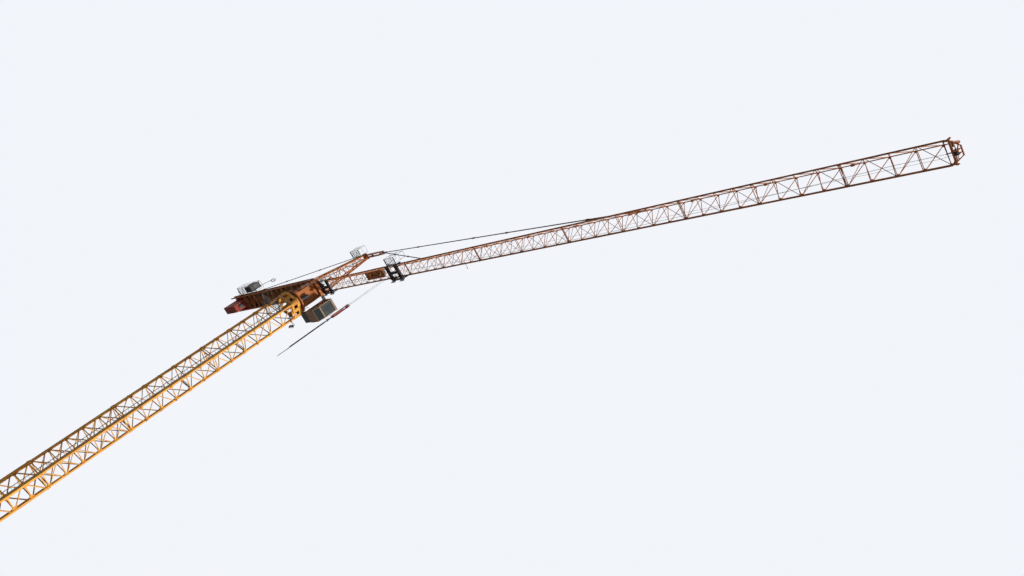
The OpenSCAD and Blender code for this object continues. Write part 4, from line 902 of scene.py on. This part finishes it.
# Hoist winch: the drum carries the hoist rope in close turns. Its motor has cooling fins, a
# brake at one end and a terminal box, and the gear case is closed by a row of bolts.
winch_x, drum_z, motor_z = -1640, zj + 72.3, zj + 58.3
shape = bmesh.new()
turned(shape, windings(24.0, -37.8, 37.8, 2.4), (winch_x, 0, drum_z), (0, 1, 0), 40)
piece(shape, "hoist_rope_on_drum", dark_steel, "upper", smooth=True)
shape = bmesh.new()
block(shape, (-1862, -78, zj + 30.3), (winch_x + 94, 78, zj + 34.3), 0.6)
for side in (-1, 1):
    stand = [(winch_x - 44, side * 42, zj + 33), (winch_x + 50, side * 42, zj + 33), (winch_x + 24, side * 42, drum_z + 12),
             (winch_x + 12, side * 42, drum_z + 20), (winch_x - 12, side * 42, drum_z + 20), (winch_x - 24, side * 42, drum_z + 12)]
    plate(shape, stand, (0, side * 8, 0))
    turned(shape, [(0, 0.003), (0, 31.5), (1, 32.5), (3, 32.5), (4, 31.5), (4, 0.003)], (winch_x, side * 38, drum_z), (0, side, 0), 40)
    turned(shape, [(0, 0.003), (0, 13), (5, 12), (8, 9), (8, 0.003)], (winch_x, side * 49.6, drum_z), (0, side, 0), 24)
    for step in range(8):
        turn = Matrix.Translation((winch_x, 0, drum_z)) @ Matrix.Rotation(math.tau * step / 8, 4, "Y")
        bolt(shape, (16.5, side * 50, 0), (0, side, 0), 1.5, turn)
    for x in (-38, 44):
        block(shape, (winch_x + x - 4, side * 46 - 12, zj + 33), (winch_x + x + 4, side * 46 + 12, zj + 38), 0.6)
        bolt(shape, (winch_x + x, side * 46 - 8, zj + 38), (0, 0, 1), 1.7)
        bolt(shape, (winch_x + x, side * 46 + 8, zj + 38), (0, 0, 1), 1.7)
turned(shape, [(-30, 0.003), (-30, 17), (-26, 19), (26, 19), (30, 17), (30, 0.003)], (winch_x - 74, 0, motor_z), (0, 1, 0), 32)
turned(shape, [(0, 0.003), (0, 13.5), (12, 13.5), (14, 17), (20, 17), (22, 15), (22, 0.003)], (winch_x - 74, 29, motor_z), (0, 1, 0), 28)
for step in range(20):
    turn = Matrix.Translation((winch_x - 74, 0, motor_z)) @ Matrix.Rotation(math.tau * step / 20, 4, "Y")
    block(shape, (-0.6, -24, 18.6), (0.6, 24, 21.4), place=turn)
block(shape, (winch_x - 100, -56, zj + 34), (winch_x - 30, -30, zj + 92), 5.0)
block(shape, (winch_x - 103, -58, zj + 60), (winch_x - 27, -28, zj + 63), 0.6)
for x in range(-96, -30, 12):
    bolt(shape, (winch_x + x, -57, zj + 63), (0, 0, 1), 1.3)
block(shape, (winch_x - 84, -14, motor_z + 17), (winch_x - 64, 12, motor_z + 29), 1.4)
for y in (-20, 18):
    block(shape, (winch_x - 92, y, zj + 34), (winch_x - 56, y + 6, zj + 44), 0.8)
piece(shape, "hoist_winch_dressed", dark_steel, "upper", ("hoist_winch",))

# Side platform: a grating on brackets from the beam, with a tube railing and toe boards.
shape = bmesh.new()
x0, x1, y0, y1, deck_z = -1960, -1490, -94.3, -186.3, zj + 33
grating(shape, (x0, y1, deck_z), (x1, y0, deck_z + 4), 18.0)
for x in range(x0 + 20, x1, 120):
    rod(shape, (x, y0, deck_z - 26), (x, y1 + 10, deck_z + 1), 2.4, 8)
    rod(shape, (x, y0, deck_z - 1), (x, y1 + 6, deck_z - 1), 2.0, 8)
railing(shape, [(x0 + 2, y0 - 3), (x0 + 2, y1 + 2), ((2 * x0 + x1) / 3, y1 + 2), ((x0 + 2 * x1) / 3, y1 + 2), (x1 - 2, y1 + 2),
                (x1 - 2, y0 - 3)], deck_z + 4, 105)
piece(shape, "side_platform_dressed", galvanised, "upper", ("side_platform",))

# Electrical cabinet: a folded steel case with two doors on each long side, hinges, turn handles
# and vents. Bent tube guards stand round it, and armoured leads run down into the deck.
cabinet_grey = old_paint("cabinet_grey", (0.085, 0.09, 0.105), (0.06, 0.063, 0.072), (0.08, 0.04, 0.03), 0.3, 0.5)
dress("cabinet_paint", cabinet_grey)
shape = bmesh.new()
iron = bmesh.new()
x0, x1, near, far, low = -1760, -1600, -104, -166, zj + 37.3
for face_y, out in ((far, -1), (near, 1)):
    for a, b in ((x0 + 4, x0 + 78.5), (x0 + 81.5, x1 - 4)):
        y_low, y_high = sorted((face_y - 0.3 * out, face_y + 1.8 * out))
        block(shape, (a, y_low, low + 6), (b, y_high, low + 114), 0.7)
        for k in range(6):
            slat = sorted((face_y + 1.4 * out, face_y + 2.8 * out))
            block(iron, (a + 12, slat[0], low + 88 + 4 * k), (b - 12, slat[1], low + 89.6 + 4 * k), 0.3)
        hinge_x = a if a < x0 + 40 else b
        for z in (low + 22, low + 98):
            rod(iron, (hinge_x, face_y + 2 * out, z - 5), (hinge_x, face_y + 2 * out, z + 5), 1.3, 10)
        handle_x = b - 6 if a < x0 + 40 else a + 6
        rod(iron, (handle_x, face_y + 1.5 * out, low + 60), (handle_x, face_y + 4.2 * out, low + 60), 1.6, 12)
        block(iron, (handle_x - 1, min(face_y + 3.6 * out, face_y + 5 * out), low + 50),
              (handle_x + 1, max(face_y + 3.6 * out, face_y + 5 * out), low + 62), 0.4)
for x in (x0 + 30, x0 + 44, x0 + 58):
    pipe(iron, [Vector((x, far - 2, low + 14)), Vector((x, far - 7, low + 10)), Vector((x, far - 7, low - 2))], 1.5)
piece(shape, "cabinet_doors", cabinet_grey, "upper")
piece(iron, "cabinet_ironwork", dark_steel, "upper")
shape = bmesh.new()
for x in (x0 - 14, x0 + 54, x1 - 46, x1 + 16):
    arc = [Vector((x, -172, low)), Vector((x, -172, low + 104))]
    for k in range(1, 8):
        turn = math.pi / 2 * k / 7
        arc.append(Vector((x, -172 + 34 * (1 - math.cos(turn)), low + 104 + 34 * math.sin(turn))))
    arc += [Vector((x, -128, low + 138))]
    arc += [Vector((x, -128 + 26 * math.sin(math.pi / 2 * k / 6), low + 112 + 26 * math.cos(math.pi / 2 * k / 6))) for k in range(1, 7)]
    arc += [Vector((x, -102, low + 8))]
    pipe(shape, arc, 1.5, 8)
for y, z in ((-172, low + 60), (-172, low + 104)):
    rod(shape, (x0 - 14, y, z), (x1 + 16, y, z), 1.2, 8)
piece(shape, "cabinet_guards", galvanised, "upper", smooth=True)

# Davit: a post with a braced arm at the front end of the side platform, and a lifting ring
# at its tip that hangs turned a little to the cab side.
shape = bmesh.new()
x, y, z = -1486.7, -124, zj + 33
block(shape, (x - 2.9, y - 12, z - 1), (x + 11, y + 12, z + 3), 0.6)
for off in (-8, 8):
    bolt(shape, (x + 7, y + off, z + 3), (0, 0, 1), 1.5)
pipe(shape, [Vector((x, y, z)), Vector((x, y, z + 124)), Vector((x + 6, y, z + 133)), Vector((x + 90, y, z + 187))], 2.6, 12)
rod(shape, (x, y, z + 92), (x + 42, y, z + 156), 1.5, 10)
centre = Vector((x + 90, y, z + 187)) + 23 * Vector((0.68, 0.39, 0.62))
turned(shape, [(-2.4, 19), (-2.4, 27), (2.4, 27), (2.4, 19), (-2.4, 19)], centre, (-0.5, 0.866, 0), 40)
piece(shape, "davit_dressed", dark_steel, "upper", ("service_davit",))

# Cab: a folded and welded sheet shell with dark glass in front and on both sides. The front is glass
# from floor to roof, its lower part sloping back, held in rubber with black frames.
cab_beige = old_paint("cab_beige", (0.34, 0.24, 0.16), (0.27, 0.19, 0.13), (0.11, 0.055, 0.03), 0.3, 0.5)
dress("cab_paint", cab_beige)
glass = Finish("cab_glass")
smears = glass.noise(14.0, 5.0, stretch=(1.0, 1.0, 0.3)).between(0.4, 0.75)
cab_glass = glass.paint(Base_Color=glass.mixed(smears, (0.012, 0.028, 0.034), (0.035, 0.05, 0.052)), Roughness=0.07 + 0.25 * smears,
                        Metallic=0.0, Coat_Weight=0.6)
dress("cab_glass", cab_glass)
rubber = Finish("rubber")
rubber_black = rubber.paint(Base_Color=rubber.mixed(rubber.noise(60.0), (0.012, 0.012, 0.013), (0.03, 0.03, 0.03)), Roughness=0.75)
cab_x0, cab_x1, cab_y0, cab_y1, cab_z0, cab_z1 = 40, 240, 130, 255, 3569, 3789
shape = bmesh.new()
seals = bmesh.new()
slope = Vector((30, 0, 62)).normalized()
slope_turn = Matrix.Translation((cab_x1 - 30, 0, cab_z0)) @ Matrix.Rotation(math.atan2(30, 62), 4, "Y")
block(shape, (-0.2, cab_y0 + 7, 6), (0.9, cab_y1 - 7, 66), 0.3, slope_turn)
for low, high in (((-0.4, cab_y0 + 5, 4), (1.8, cab_y1 - 5, 7)), ((-0.4, cab_y0 + 5, 64), (1.8, cab_y1 - 5, 67.5)),
                  ((-0.4, cab_y0 + 5, 4), (1.8, cab_y0 + 8, 67)), ((-0.4, cab_y1 - 8, 4), (1.8, cab_y1 - 5, 67)),
                  ((-0.4, 190, 5), (1.8, 193, 66))):
    block(seals, low, high, 0.5, slope_turn)
front = (cab_x1 - 1.2, cab_x1 + 1.4)
for low, high in (((cab_y0 + 7, cab_z0 + 74), (cab_y1 - 7, cab_z0 + 78)), ((cab_y0 + 7, cab_z1 - 24), (cab_y1 - 7, cab_z1 - 20)),
                  ((cab_y0 + 7, cab_z0 + 74), (cab_y0 + 11, cab_z1 - 20)), ((cab_y1 - 11, cab_z0 + 74), (cab_y1 - 7, cab_z1 - 20)),
                  ((190, cab_z0 + 76), (193, cab_z1 - 22))):
    block(seals, (front[0], low[0], low[1]), (front[1], high[0], high[1]), 0.5)
for face in ((cab_y0 - 1.2, cab_y0 + 1.2), (cab_y1 - 1.2, cab_y1 + 1.2)):
    for a, b in ((cab_x0 + 16, cab_x0 + 84), (cab_x0 + 100, cab_x1 - 14)):
        low_z, high_z = cab_z0 + 90, cab_z1 - 26
        for low, high in (((a - 2, low_z - 2), (b + 2, low_z + 1.5)), ((a - 2, high_z - 1.5), (b + 2, high_z + 2)),
                          ((a - 2, low_z), (a + 1.5, high_z)), ((b - 1.5, low_z), (b + 2, high_z))):
            block(seals, (low[0], face[0], low[1]), (high[0], face[1], high[1]), 0.5)
piece(shape, "sloped_front_glass", cab_glass, "upper")
piece(seals, "window_rubbers", rubber_black, "upper")

# Cab ironwork: two wipers, a door with hinges and a handle in the far side, grab bars, a roof
# with a folded edge, and a cooling unit at the back.
shape = bmesh.new()
iron = bmesh.new()
block(shape, (cab_x0 - 3, cab_y0 - 3, cab_z1 - 1), (cab_x1 + 3, cab_y1 + 3, cab_z1 + 0.2), 0.5)
block(shape, (cab_x0 - 2, cab_y0 - 2, cab_z0 - 0.6), (cab_x1 - 30, cab_y1 + 2, cab_z0 + 2.4), 0.5)
block(shape, (cab_x0 + 14, cab_y1 - 0.4, cab_z0 + 8), (cab_x0 + 86, cab_y1 + 1.4, cab_z1 - 14), 0.8)
block(shape, (cab_x0 - 17, cab_y0 + 24, cab_z0 + 132), (cab_x0 + 0.5, cab_y1 - 24, cab_z0 + 190), 2.5)
for k in range(9):
    y = cab_y0 + 32 + 7.5 * k
    block(iron, (cab_x0 - 18, y, cab_z0 + 138), (cab_x0 - 16.6, y + 2.4, cab_z0 + 184), 0.3)
for y, lean in ((cab_y0 + 34, 14), (cab_y0 + 92, -14)):
    rod(iron, (cab_x1 + 1, y, cab_z1 - 18), (cab_x1 + 4.6, y, cab_z1 - 18), 2.6, 12)
    rod(iron, (cab_x1 + 3.6, y, cab_z1 - 18), (cab_x1 + 3.0, y + lean, cab_z1 - 78), 0.8, 8)
    rod(iron, (cab_x1 + 2.0, y + lean, cab_z1 - 52), (cab_x1 + 2.0, y + lean, cab_z1 - 106), 0.9, 8)
for z in (cab_z0 + 34, cab_z0 + 170):
    rod(iron, (cab_x0 + 14, cab_y1 + 1.8, z - 7), (cab_x0 + 14, cab_y1 + 1.8, z + 7), 1.6, 10)
pipe(iron, [Vector((cab_x0 + 80, cab_y1 + 1, cab_z0 + 62)), Vector((cab_x0 + 80, cab_y1 + 6, cab_z0 + 64)),
            Vector((cab_x0 + 80, cab_y1 + 6, cab_z0 + 82)), Vector((cab_x0 + 80, cab_y1 + 1, cab_z0 + 84))], 1.2, 8)
for x in (cab_x0 + 92, cab_x1 - 8):
    pipe(iron, [Vector((x, cab_y1 - 1, cab_z0 + 84)), Vector((x, cab_y1 + 6, cab_z0 + 88)), Vector((x, cab_y1 + 6, cab_z0 + 160)),
                Vector((x, cab_y1 - 1, cab_z0 + 164))], 1.2, 8)
piece(shape, "cab_trim", cab_beige, "upper")
piece(iron, "cab_ironwork", dark_steel, "upper")
shape = bmesh.new()
for x in (58, 96):
    for side_y in (cab_y0 + 8, cab_y1 - 8):
        for y in (-5, 5):
            bolt(shape, (x + 5, side_y + y, cab_z1 + 14.3), (0, 0, 1), 1.6)
piece(shape, "cab_hanger_bolts", dark_steel, "upper")

# Trolleys: welded plate frames, coloured near-black navy as painted shade, with wide cross channels open below, plates
# for the rope wheels and pointed feet on the cab side. One works with a basket; the other
# stands latched at the foot of the jib.
trolley_x, parked_x = 1593, 285
cheek_y, cross_low, cross_high = 65.4, zj - 44, zj - 32
axle_z, wheel_in, wheel_out = zj + 5.8, chord_out + 0.6, chord_out + 3.0
# The trolley frames' finish: a near-black navy that is painted shade, with faded patches and rust spots of its own.
frame_navy_painted_shade = old_paint("frame_navy_painted_shade", (0.022, 0.024, 0.042), (0.034, 0.034, 0.050), (0.075, 0.035, 0.02), 0.4, 0.5)


def trolley_frame(shape, x):
    middle = Matrix.Translation((x, 0, 0))
    for side in (-1, 1):
        cheek = [(-106, zj - 10), (-106, zj + 12), (-76, zj + 12), (-62, zj - 8), (62, zj - 8), (76, zj + 12), (106, zj + 12),
                 (106, zj - 10), (86, cross_low), (-86, cross_low)]
        plate(shape, [(u, side * cheek_y, w) for u, w in cheek], (0, side * 4, 0), middle)
        low, high = sorted((side * (cheek_y + 3.6), side * (cheek_y + 7)))
        block(shape, (-84, low, cross_low), (84, high, cross_low + 3), 0.4, middle)
        for u in (-92, 92):
            rod(shape, (u, side * (cheek_y + 3.8), axle_z), (u, side * (cheek_y + 6.4), axle_z), 5.2, 20, place=middle)
            bolt(shape, (u, side * (cheek_y + 6.4), axle_z), (0, side, 0), 2.2, middle)
        block(shape, (-72, side * 9 - 1.5, cross_low + 0.5), (72, side * 9 + 1.5, cross_high + 6), 0.5, middle)
    for off in (-72, 72):
        for low, high in (((-23, -cheek_y, cross_high - 3), (23, cheek_y, cross_high)), ((-23, -cheek_y, cross_low), (-20, cheek_y, cross_high)),
                          ((20, -cheek_y, cross_low), (23, cheek_y, cross_high)), ((-20, -cheek_y, cross_low + 1), (20, -cheek_y + 14, cross_low + 4)),
                          ((-20, cheek_y - 14, cross_low + 1), (20, cheek_y, cross_low + 4)), ((-20, -18, cross_low + 1), (20, 18, cross_low + 4))):
            block(shape, low, high, 0.5, Matrix.Translation((x + off, 0, 0)))
        foot = [(off - 13, cheek_y + 3.6, cross_low + 28), (off - 13, cheek_y + 22, cross_low + 2), (off - 13, cheek_y + 9, cross_low - 28),
                (off - 13, cheek_y + 3.6, cross_low)]
        plate(shape, foot, (26, 0, 0), middle)
        for side in (-1, 1):
            rod(shape, (math.copysign(104, off), side * 50, cross_low + 8), (math.copysign(111, off), side * 50, cross_low + 8), 5, 16,
                place=middle)
            block(shape, (min(off, math.copysign(104, off)), side * 50 - 3, cross_low + 4), (max(off, math.copysign(104, off)), side * 50 + 3, cross_low + 12), 0.5, middle)


def trolley_running(shape, x, wheel_r):
    for off in (-92, 92):
        for side in (-1, 1):
            turned(shape, [(0, 2.4), (0, 7.2), (0.3, 8), (1.8, 8), (2.4, 6.4), (2.4, 2.4)], (x + off, side * wheel_in, axle_z), (0, side, 0), 28)
            rod(shape, (x + off, side * (wheel_in - 0.3), axle_z), (x + off, side * cheek_y, axle_z), 2.5, 16)
    for off in (-23, 23):
        rim = [(0, wheel_r), (3.2, wheel_r), (4, wheel_r + 1.9), (4.6, wheel_r + 1.9), (4.6, wheel_r - 2), (2, wheel_r - 3), (2, 7), (5, 6), (5, 0.003)]
        turned(shape, [(-along, reach) for along, reach in reversed(rim[1:])] + rim, (x + off, 0, zj - 28), (0, 1, 0), 36)
        rod(shape, (x + off, -12, zj - 28), (x + off, 12, zj - 28), 3.0, 16)


for x, body, name, hidden in ((trolley_x, "trolley", "trolley", ("trolley_frame",)), (parked_x, "upper", "parked_trolley", ("parked_trolley",))):
    shape = bmesh.new()
    trolley_frame(shape, x)
    piece(shape, name + "_frame_dressed", frame_navy_painted_shade, body, hidden)
    shape = bmesh.new()
    trolley_running(shape, x, 18.3 if body == "trolley" else 14.5)
    piece(shape, name + "_wheels_dressed", dark_steel, body,
          ("trolley_wheels", "trolley_sheaves") if body == "trolley" else (), smooth=True)

# Work basket on the trolley: a grating with a high tube railing on the side away from the
# cab, hung from the frame by flat hangers.
shape = bmesh.new()
x0, x1, y0, y1, deck_z = trolley_x - 76, trolley_x + 76, -76, -134, zj - 26
grating(shape, (x0, y1, deck_z), (x1, y0, deck_z + 3))
railing(shape, [(x0 + 2, y0 - 3), (x0 + 2, y1 + 2), (trolley_x, y1 + 2), (x1 - 2, y1 + 2), (x1 - 2, y0 - 3)], deck_z + 3, 120)
for x in (x0 + 8, x1 - 12):
    block(shape, (x, y0 - 2, deck_z + 1), (x + 4, -69, deck_z + 3.4), 0.4)
    block(shape, (x, -72.4, deck_z - 8), (x + 4, -69.6, deck_z + 10), 0.4)
piece(shape, "work_basket", galvanised, "trolley", ("service_basket",))

# Hoist rope: six strands laid round each other, greased dark. It runs from the foot of the
# jib over the trolley's wheels, down to the block and up again, and on to the jib's end,
# where the free stretch hangs slack. That stretch stays in the jib, and the arcs over the
# wheels go with the trolley.
rope = Finish("wire_rope")
wet = rope.noise(90.0, 4.0).between(0.4, 0.7)
wire_rope = rope.paint(Base_Color=rope.mixed(wet, (0.020, 0.018, 0.020), (0.050, 0.044, 0.042)), Roughness=0.5 + 0.2 * wet, Metallic=0.5)


def laid_rope(shape, points, radius, lay=20.0, rings=4):
    """A laid rope along a line of points: a lobed ring wound straight up by one spin, then bent onto the line."""
    points = [Vector(point) for point in points]
    reach = [0.0]
    for a, b in zip(points, points[1:]):
        reach.append(reach[-1] + (b - a).length)
    steps = max(2, round(reach[-1] / lay * rings))
    part = bmesh.new()
    ring = bmesh.ops.create_circle(part, cap_ends=False, segments=12, radius=radius)
    bmesh.ops.scale(part, vec=(0.84, 0.84, 1), verts=ring["verts"][::2])
    bmesh.ops.spin(part, geom=part.edges[:], cent=(0, 0, 0), axis=(0, 0, 1), dvec=(0, 0, reach[-1] / steps),
                   angle=math.tau * reach[-1] / lay, steps=steps)
    bmesh.ops.holes_fill(part, edges=part.edges, sides=12)
    k = 0
    for corner in sorted(part.verts, key=lambda vert: vert.co.z):
        along = min(max(corner.co.z, 0.0), reach[-1])
        while k < len(points) - 2 and along > reach[k + 1]:
            k += 1
        share = (along - reach[k]) / (reach[k + 1] - reach[k])
        before = (points[k] - points[max(k - 1, 0)]).normalized() if k else (points[1] - points[0]).normalized()
        ahead = (points[k + 1] - points[k]).normalized()
        after = (points[min(k + 2, len(points) - 1)] - points[k + 1])
        after = after.normalized() if after.length > 1e-6 else ahead
        run = (before + ahead).normalized().lerp((ahead + after).normalized(), share).normalized()
        across = run.cross(Vector((0, 1, 0))).normalized()
        corner.co = points[k].lerp(points[k + 1], share) + across * corner.co.x + run.cross(across) * corner.co.y
    part.to_mesh(spare)
    part.free()
    shape.from_mesh(spare)


def swept(shape, points, radii, sides=12):
    """A forged bar: a ring at each point of a line, with its own radius, bridged to the next."""
    part = bmesh.new()
    loops = []
    for k, point in enumerate(points):
        run = Vector(points[min(k + 1, len(points) - 1)]) - Vector(points[max(k - 1, 0)])
        turn = Matrix.Translation(point) @ run.to_track_quat("Z", "Y").to_matrix().to_4x4()
        ring = bmesh.ops.create_circle(part, cap_ends=k in (0, len(points) - 1), segments=sides, radius=radii[k], matrix=turn)
        loops.append(list({line for corner in ring["verts"] for line in corner.link_edges}))
    for first, second in zip(loops, loops[1:]):
        bmesh.ops.bridge_loops(part, edges=first + second)
    part.to_mesh(spare)
    part.free()
    shape.from_mesh(spare)


def arc(centre, radius, first, last, y=0.0, steps=8):
    """Points round a circle in the plane of the jib, between two angles from the jib's direction."""
    return [Vector((centre[0] + radius * math.cos(math.radians(first + (last - first) * k / steps)), y,
                    centre[1] + radius * math.sin(math.radians(first + (last - first) * k / steps)))) for k in range(steps + 1)]


def sagging(start, end, sag, steps=24):
    return [Vector(start).lerp(Vector(end), k / steps) - Vector((0, 0, 4 * sag * k / steps * (1 - k / steps))) for k in range(steps + 1)]


rope_r, rope_line = 1.2, zj - 8.5
sheave_z, block_z = zj - 28, zj - 578
foot_x, guide = 176, (98, zj + 38)
near_x, far_x = trolley_x - 23, trolley_x + 23
shape = bmesh.new()
drum_leave = Vector((winch_x + 6, 0, drum_z + 26))
laid_rope(shape, [drum_leave] + arc(guide, 16.2, 88, 38, 0, 6) + arc((foot_x, rope_line + 9.2), 9.2, 218, 270, 0, 5), rope_r)
piece(shape, "rope_to_jib", wire_rope, "upper", smooth=True)
shape = bmesh.new()
line = sagging((foot_x, 0, rope_line), (near_x, -1.5, rope_line), 0) + [Vector((far_x, -1.5, rope_line))]
laid_rope(shape, line, rope_r)
inner_rope = piece(shape, "hoist_rope_inner", wire_rope, None, smooth=True)
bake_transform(inner_rope)
shape = bmesh.new()
line = [Vector((foot_x + 30, 1.5, rope_line))] + sagging((far_x, 1.5, rope_line), (tip_x - 238, 1.5, rope_line), 110)
line.append(Vector((tip_x + 14, 1.5, rope_line)))
laid_rope(shape, line, rope_r)
piece(shape, "hoist_rope_outer", wire_rope, "upper", ("jib_ropes",), smooth=True)
shape = bmesh.new()
line = arc((far_x, sheave_z), 19.5, 90, 0, -1.5) + arc((trolley_x, block_z), 16.5, 0, -180, 0, 12)
line += arc((near_x, sheave_z), 19.5, 180, 90, 1.5)
laid_rope(shape, line, rope_r)
falls = piece(shape, "rope_falls", wire_rope, None, ("hoist_rope_falls",), smooth=True)
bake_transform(falls)

# Trolley rope: a thinner rope from the trolley winch to both ends of the trolley. The stretch
# on the mast's side follows the trolley; the other runs in the jib to the wheel at its end.
shape = bmesh.new()
laid_rope(shape, [(190, 14, zj - 14), (trolley_x - 108, 14, zj - 20)], 0.8, 15.0)
trolley_rope = piece(shape, "trolley_rope_inner", wire_rope, None, smooth=True)
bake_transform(trolley_rope)
shape = bmesh.new()
laid_rope(shape, [(trolley_x - 1000, 14, zj - 20), (tip_x - 40, 14, zj - 20), (tip_x + 30, 3, zj - 31)], 0.8, 15.0)
piece(shape, "trolley_rope_outer", wire_rope, "upper", smooth=True)

# Guide wheels: grooved wheels between small plates on the front of the turntable and in the
# foot of the jib, which lead the hoist rope down from the winch into the jib.
shape = bmesh.new()
sheave(shape, (guide[0], 0, guide[1]), 16.8, 7, 4)
sheave(shape, (foot_x, 0, rope_line + 9.2), 9.9, 6, 3)
for side in (-1, 1):
    block(shape, (guide[0] - 9, side * 8 - 1.2, guide[1] - 22), (guide[0] + 6, side * 8 + 1.2, guide[1] + 7), 0.8)
    rod(shape, (guide[0], 0, guide[1]), (guide[0], side * 10.5, guide[1]), 3, 14)
    rod(shape, (foot_x, 0, rope_line + 9.2), (foot_x, side * 55, rope_line + 9.2), 2.0, 12)
piece(shape, "guide_wheels", dark_steel, "upper")

# Hook block: two steel cheeks with a grooved wheel between them, held by a bolted pin. Its
# red coat carries slanted white bars on both sides.
block_red = old_paint("block_red", (0.33, 0.035, 0.035), (0.25, 0.03, 0.03), (0.08, 0.03, 0.025), 0.4, 0.5)
block_white = old_paint("block_white", (0.62, 0.60, 0.57), (0.45, 0.42, 0.40), (0.10, 0.05, 0.04), 0.4, 0.5)
dress("block_paint", block_red)
shape = bmesh.new()
bars = bmesh.new()
hook_place = Matrix.Translation((trolley_x, 0, 0))
(low_x, low_y, low_z), (high_x, high_y, high_z) = [[part * 1000 for part in corner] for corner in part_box("block_cheeks")]
cheek_half, cheek_out = (high_x - low_x) / 2, high_y
for side in (-1, 1):
    for k in range(3):
        z = low_z + 26 + 42 * k
        reach = 0.72 * cheek_half
        bar_line = [(-reach, side * (cheek_out - 0.2), z), (reach, side * (cheek_out - 0.2), z + 16), (reach, side * (cheek_out - 0.2), z + 32),
                    (-reach, side * (cheek_out - 0.2), z + 16)]
        plate(bars, bar_line, (0, side * 0.6, 0), hook_place)
    rod(shape, (0, side * 6, block_z), (0, side * (cheek_out + 3), block_z), 5.0, 20, place=hook_place)
    bolt(shape, (0, side * (cheek_out + 3), block_z), (0, side, 0), 2.6, hook_place)
    for x in (-0.6, 0.6):
        bolt(shape, (x * cheek_half, side * cheek_out, low_z + 12), (0, side, 0), 1.8, hook_place)
piece(bars, "block_stripes", block_white, "hook")
sheave(shape, (trolley_x, 0, block_z), 17.2, 8.4, 5)
piece(shape, "block_wheel_and_bolts", dark_steel, "hook", ("block_sheave",))

# Hook: forged in one, thick in the bend and thin at the point, with a turned shank and nut
# in the block's lower bar and a sprung latch across its mouth.
hook_z = zj - 777
shape = bmesh.new()
line = [Vector((0, 0, hook_z + 40)), Vector((0, 0, hook_z + 28)), Vector((-2, 0, hook_z + 22)), Vector((-6.5, 0, hook_z + 15))]
line += arc((0, hook_z), 12, 150, 378, 0, 16) + [Vector((14.5, 0, hook_z + 8.5))]
radii = [4.2, 4.2, 4.3, 4.4] + [4.4 + 1.0 * math.sin(math.pi * min(1, k / 12)) - (0.35 * (k - 10) if k > 10 else 0) for k in range(17)] + [1.4]
swept(shape, [point + Vector((trolley_x, 0, 0)) for point in line], radii, 14)
rod(shape, (0, 0, hook_z + 29), (0, 0, hook_z + 36), 7.4, 24, place=hook_place)
rod(shape, (0, -3.4, hook_z + 22), (0, 3.4, hook_z + 22), 1.2, 10, place=hook_place)
latch = [(-1, -1.8, hook_z + 23.5), (1.2, -1.8, hook_z + 20), (12.6, -1.8, hook_z + 7.5), (14, -1.8, hook_z + 9.5)]
plate(shape, latch, (0, 3.6, 0), hook_place)
piece(shape, "forged_hook", dark_steel, "hook", ("hook",), smooth=True)

# Chain sling: an oval ring on the hook, four legs of welded links that hang close together,
# and small hooks at their ends. Two of the legs are longer and hang free.
part = bmesh.new()
ring = bmesh.ops.create_circle(part, cap_ends=False, segments=5, radius=1.1,
                               matrix=Matrix.Translation((2.2, 0, 0)) @ Matrix.Rotation(math.radians(90), 4, "X"))
bmesh.ops.spin(part, geom=ring["verts"] + part.edges[:], cent=(0, 0, 0), axis=(0, 0, 1), angle=math.tau, steps=10, use_merge=True)
for corner in part.verts:
    corner.co.y += 1.4 if corner.co.y > 0.01 else -1.4 if corner.co.y < -0.01 else 0
bmesh.ops.transform(part, verts=part.verts, matrix=Matrix.Rotation(math.radians(90), 4, "X"))
link = bpy.data.meshes.new("link")
part.to_mesh(link)
part.free()


def chain(shape, top, bottom, pitch=5.0):
    """Links from top to bottom, each turned a quarter from the one above it."""
    top, bottom = Vector(top), Vector(bottom)
    count = max(1, int((bottom - top).length / pitch))
    tilt = (top - bottom).to_track_quat("Z", "Y").to_matrix().to_4x4()
    for k in range(count):
        turn = Matrix.Translation(top.lerp(bottom, (k + 0.5) / count)) @ tilt @ Matrix.Rotation(math.radians(45 + 90 * (k % 2)), 4, "Z")
        link.transform(turn)
        shape.from_mesh(link)
        link.transform(turn.inverted())


shape = bmesh.new()
ring_z = hook_z - 15.1
swept(shape, [Vector((trolley_x, math.sin(math.tau * k / 24) * 7.5, ring_z + math.cos(math.tau * k / 24) * 10.5)) for k in range(25)], [2.3] * 25, 10)
for x, y, end_z in ((-2.6, -2.6, 2637), (2.6, -2.6, 2640), (-2.6, 2.6, 2517), (2.6, 2.6, 2592)):
    start = (trolley_x + x * 0.5, y * 0.5, ring_z - 10)
    chain(shape, start, (trolley_x + x, y, ring_z - 40))
    chain(shape, (trolley_x + x, y, ring_z - 40), (trolley_x + x, y, end_z + 14))
    bend = [Vector((trolley_x + x, y, end_z + 15)), Vector((trolley_x + x, y, end_z + 11))] + arc((trolley_x + x, end_z + 5.5), 4.0, 120, 380, y, 8)
    swept(shape, bend, [1.3, 1.3] + [1.4 - 0.1 * k for k in range(9)], 8)
piece(shape, "chain_legs", dark_steel, "hook", ("chain_sling",))
